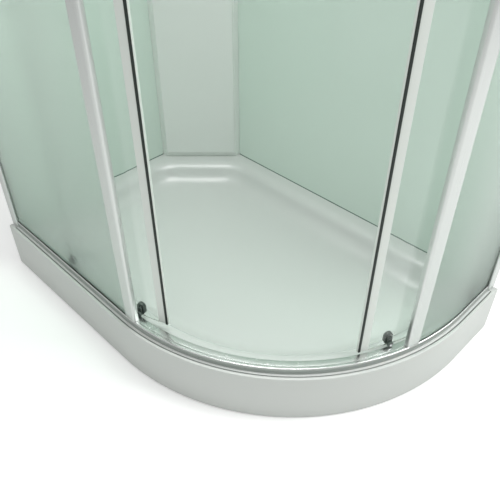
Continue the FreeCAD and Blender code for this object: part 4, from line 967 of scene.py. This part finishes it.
class SHOWER_OT_rollers(bpy.types.Operator):
    """Make the roller bodies, their wheels, pins and hangers"""

    bl_idname = "shower.rollers"
    bl_label = "Rollers"

    def execute(self, context):
        tray, rail, door, _ = settings()
        face = rail.glass / 2 + FACE_PLAY
        high = door_levels()[1]
        top_track, top_radius = rail.top - rail.shelf_drop, 0.009
        top_axle = top_track + top_radius
        # Place, level of the track, radius of the wheel and its middle's distance from the glass.
        wheels = (("bottom", tray.rim_level + rail.rail_height, 0.008, 0.0083),
                  ("top", top_track, top_radius, 0.0078))
        body_low, body_high, body_radius, body_depth = 0.1685, 0.2045, 0.011, 0.0108
        clip_low, clip_radius, clip_depth = 0.1694, 0.0065, 0.0032
        hanger_drop, hanger_rise, hanger_radius, hanger_depth = 0.034, 0.006, 0.008, 0.0035
        pin_radius, pin_drop, pin_soft = 0.004, 0.018, 0.0001
        wheel_half, wheel_soft, bore = 0.0025, 0.0009, 0.00206
        for side, word in SIDES:
            bodies, hangers = [], []
            for number, arc in ((1, door.front_roller), (2, door.front_roller + door.roller_spacing)):
                axes = spot, along, out = door_axes(side, arc)
                bodies += [
                    oval_block(axes, body_low, body_high, body_radius, -face - body_depth, -face, 0.0016),
                    oval_block(axes, clip_low, door.clamp + clip_radius, clip_radius, face,
                               face + clip_depth, 0.0008),
                    disc(axes, door.clamp, pin_radius, -face, face, pin_soft, 24)]
                hangers += [
                    oval_block(axes, high - hanger_drop, top_axle + hanger_rise, hanger_radius,
                               -face - hanger_depth, -face, 0.0008),
                    disc(axes, high - pin_drop, pin_radius, -face, face, pin_soft, 24),
                    disc(axes, high - pin_drop, hanger_radius, face, face + hanger_depth, 0.0008, 32)]
                for place, track, radius, offset in wheels:
                    name = "%s_wheel_%s_%d" % (place, word, number)
                    section = disc_section(radius, offset - wheel_half, offset + wheel_half, wheel_soft,
                                           bore)
                    grid = turned(section, spot + UP * (track + radius), out, along, UP, 48)
                    build("wheel_%s_%s_%d" % (place, word, number), [(grid, RING)], "nylon",
                          name + "_body", name)
            for name, shells, node in (("roller_bodies_", bodies, "bottom_roller_bodies_"),
                                       ("hangers_", hangers, "top_roller_bodies_")):
                build(name + word, shells, "dark_plastic", "door_" + word, node + word)
        return {"FINISHED"}


class SHOWER_OT_handles(bpy.types.Operator):
    """Make the two door handles"""

    bl_idname = "shower.handles"
    bl_label = "Handles"

    def execute(self, context):
        _, rail, door, _ = settings()
        face = rail.glass / 2 + FACE_PLAY
        bar, half_length, stand, dome_share = 0.007, 0.14, rail.glass / 2 + 0.027, 0.6
        height, peg_heights, peg_radius = 1.2, (1.1, 1.3), 0.005
        rose_radius, rose_depth, knob_depth = 0.01, 0.0025, 0.005
        turn = np.linspace(0, math.pi / 2, 8)
        rise = bar * dome_share * (1 - np.cos(turn))
        dome = np.stack([bar * np.sin(turn), -half_length + rise], axis=1)
        section = np.concatenate([dome, dome[::-1] * [1, -1]])
        for side, word in SIDES:
            axes = spot, along, out = door_axes(side, door.handle)
            shells = [(turned(section, spot + out * stand + UP * height, UP, along, out), TURNED)]
            for level in peg_heights:
                shells += [disc(axes, level, peg_radius, -face, stand - bar / 2, 0.0003, 28),
                           disc(axes, level, rose_radius, face, face + rose_depth, 0.0008, 36),
                           disc(axes, level, rose_radius, -face - knob_depth, -face, 0.0015, 36)]
            build("pull_" + word, shells, "polished", "door_" + word, "handle_" + word)
        return {"FINISHED"}


class SHOWER_OT_plain_pieces(bpy.types.Operator):
    """Finish the pieces that keep their own solids: glass walls, profiles, column, frame, legs, waste"""

    bl_idname = "shower.plain_pieces"
    bl_label = "Plain pieces"

    def execute(self, context):
        finishes = {
            "long_wall_glass": ["back_wall_glass"],
            "short_wall_glass": ["side_wall_glass"],
            "column": ["corner_column", "column_plate"],
            "post_metal": ["wall_profile_left", "wall_profile_right", "back_top_channel",
                           "side_top_channel"],
            "clear_pane": ["door_glass_left", "door_glass_right"],
            "polished": ["drain_cover", "waste_flange", "profile_screws"] + [
                name % word for _, word in SIDES
                for name in ("roller_axles_%s", "release_button_%s_1", "release_button_%s_2")],
            "dark_plastic": ["rail_stops", "leg_feet", "apron_brackets"],
            "steel": ["support_frame", "leg_studs", "leg_nuts"],
            "board": ["base_board"],
            "waste_plastic": ["waste_trap"],
        }
        for finish, nodes in finishes.items():
            for node in nodes:
                dress(node, finish)
        return {"FINISHED"}


# ---- stage ----

def seen_mask(tree):
    """1 for rays from the camera, straight or through glass, which see the floor and the room."""
    return ray_mask(tree, "Is Camera Ray", "Is Transmission Ray")


class SHOWER_OT_stage(bpy.types.Operator):
    """Make the pale floor, the soft light and the camera"""

    bl_idname = "shower.stage"
    bl_label = "Stage"

    def execute(self, context):
        scene = context.scene
        floor_glow, room_light = 0.25, 0.6
        tree, shader = new_material("pale_floor")
        feed(tree, shader, {"Base Color": (0.86, 0.87, 0.86, 1), "Roughness": 0.9,
                            "Specular IOR Level": 0.1})
        strength = maths(tree, "MULTIPLY", seen_mask(tree), floor_glow)
        glow = add_node(tree, "Emission", {"Strength": strength})
        show(tree, add_node(tree, "AddShader", {0: shader.outputs["BSDF"],
                                                1: glow.outputs["Emission"]}).outputs["Shader"])
        reach, count = 9, 7
        across = np.linspace(-reach, reach, count)
        x, y = np.meshgrid(across, across)
        floor = np.stack([x, y, np.zeros_like(x)], axis=2).reshape(-1, 3)
        mesh = bpy.data.meshes.new("floor")
        mesh.from_pydata(floor.tolist(), [], grid_faces(count, count, False, False).tolist())
        piece = bpy.data.objects.new("floor", mesh)
        scene.collection.objects.link(piece)
        mesh.materials.append(bpy.data.materials["pale_floor"])

        world = bpy.data.worlds.new("pale_room")
        world.use_nodes = True
        scene.world = world
        tree = world.node_tree
        level = ranged(tree, seen_mask(tree), room_light, 1.0)
        feed(tree, tree.nodes["Background"], {"Color": (1, 1, 1, 1), "Strength": level})

        # Lamps, the power in watts.
        for name, place, aim, size, power in (
                ("key_light", (2.5, 1.9, 3.7), (0.2, 0, 0.1), 2.2, 115),
                ("inside_light", (0.0, 0.02, 3.1), (0.0, 0.03, 0), 1.3, 36)):
            lamp = bpy.data.lights.new(name, "AREA")
            lamp.energy = power
            lamp.size = size
            holder = bpy.data.objects.new(name, lamp)
            holder.location = place
            way = np.array(aim) - np.array(place)
            holder.rotation_euler = (math.acos(-way[2] / np.linalg.norm(way)), 0,
                                     math.atan2(way[1], way[0]) - math.pi / 2)
            scene.collection.objects.link(holder)

        focal_pixels, picture_pixels, sensor = 593.1, 500, 36
        data = bpy.data.cameras.new("camera")
        data.lens = focal_pixels / picture_pixels * sensor
        data.sensor_width = sensor
        data.shift_y = -0.0052
        data.clip_start = 0.05
        camera = bpy.data.objects.new("camera", data)
        camera.location = (0.946, -0.898, 1.269)
        camera.rotation_euler = (math.radians(50.1), 0, math.radians(45))
        scene.collection.objects.link(camera)
        scene.camera = camera
        scene.view_settings.view_transform = "Standard"
        return {"FINISHED"}


OPERATORS = (SHOWER_OT_finishes, SHOWER_OT_tray, SHOWER_OT_front_panel, SHOWER_OT_rails, SHOWER_OT_posts,
             SHOWER_OT_fixed_glass, SHOWER_OT_seals, SHOWER_OT_rollers, SHOWER_OT_handles,
             SHOWER_OT_plain_pieces, SHOWER_OT_stage)
GROUPS = (("shower_tray", ShowerTraySizes), ("shower_rails", ShowerFrameSizes),
          ("shower_doors", ShowerDoorSizes), ("shower_colours", ShowerColours))


class SHOWER_PT_panel(bpy.types.Panel):
    """The enclosure's sizes, colours and pieces"""

    bl_idname = "SHOWER_PT_panel"
    bl_label = "Shower enclosure"
    bl_space_type = "VIEW_3D"
    bl_region_type = "UI"
    bl_category = "Shower"

    def draw(self, context):
        for name, group in GROUPS:
            box = self.layout.box()
            box.label(text=group.__doc__)
            for field in group.__annotations__:
                box.prop(getattr(context.scene, name), field)
        for operator in OPERATORS:
            self.layout.operator(operator.bl_idname)


def register():
    """Registers the property groups, the operators and the panel."""
    for name, group in GROUPS:
        bpy.utils.register_class(group)
        setattr(bpy.types.Scene, name, PointerProperty(type=group))
    for item in OPERATORS + (SHOWER_PT_panel,):
        bpy.utils.register_class(item)


def unregister():
    """Takes them away again."""
    for item in (SHOWER_PT_panel,) + OPERATORS[::-1]:
        bpy.utils.unregister_class(item)
    for name, group in GROUPS[::-1]:
        delattr(bpy.types.Scene, name)
        bpy.utils.unregister_class(group)


def main():
    """Makes every piece in order."""
    register()
    for operator in OPERATORS:
        group, name = operator.bl_idname.split(".")
        getattr(getattr(bpy.ops, group), name)()


if __name__ == "__main__":
    main()
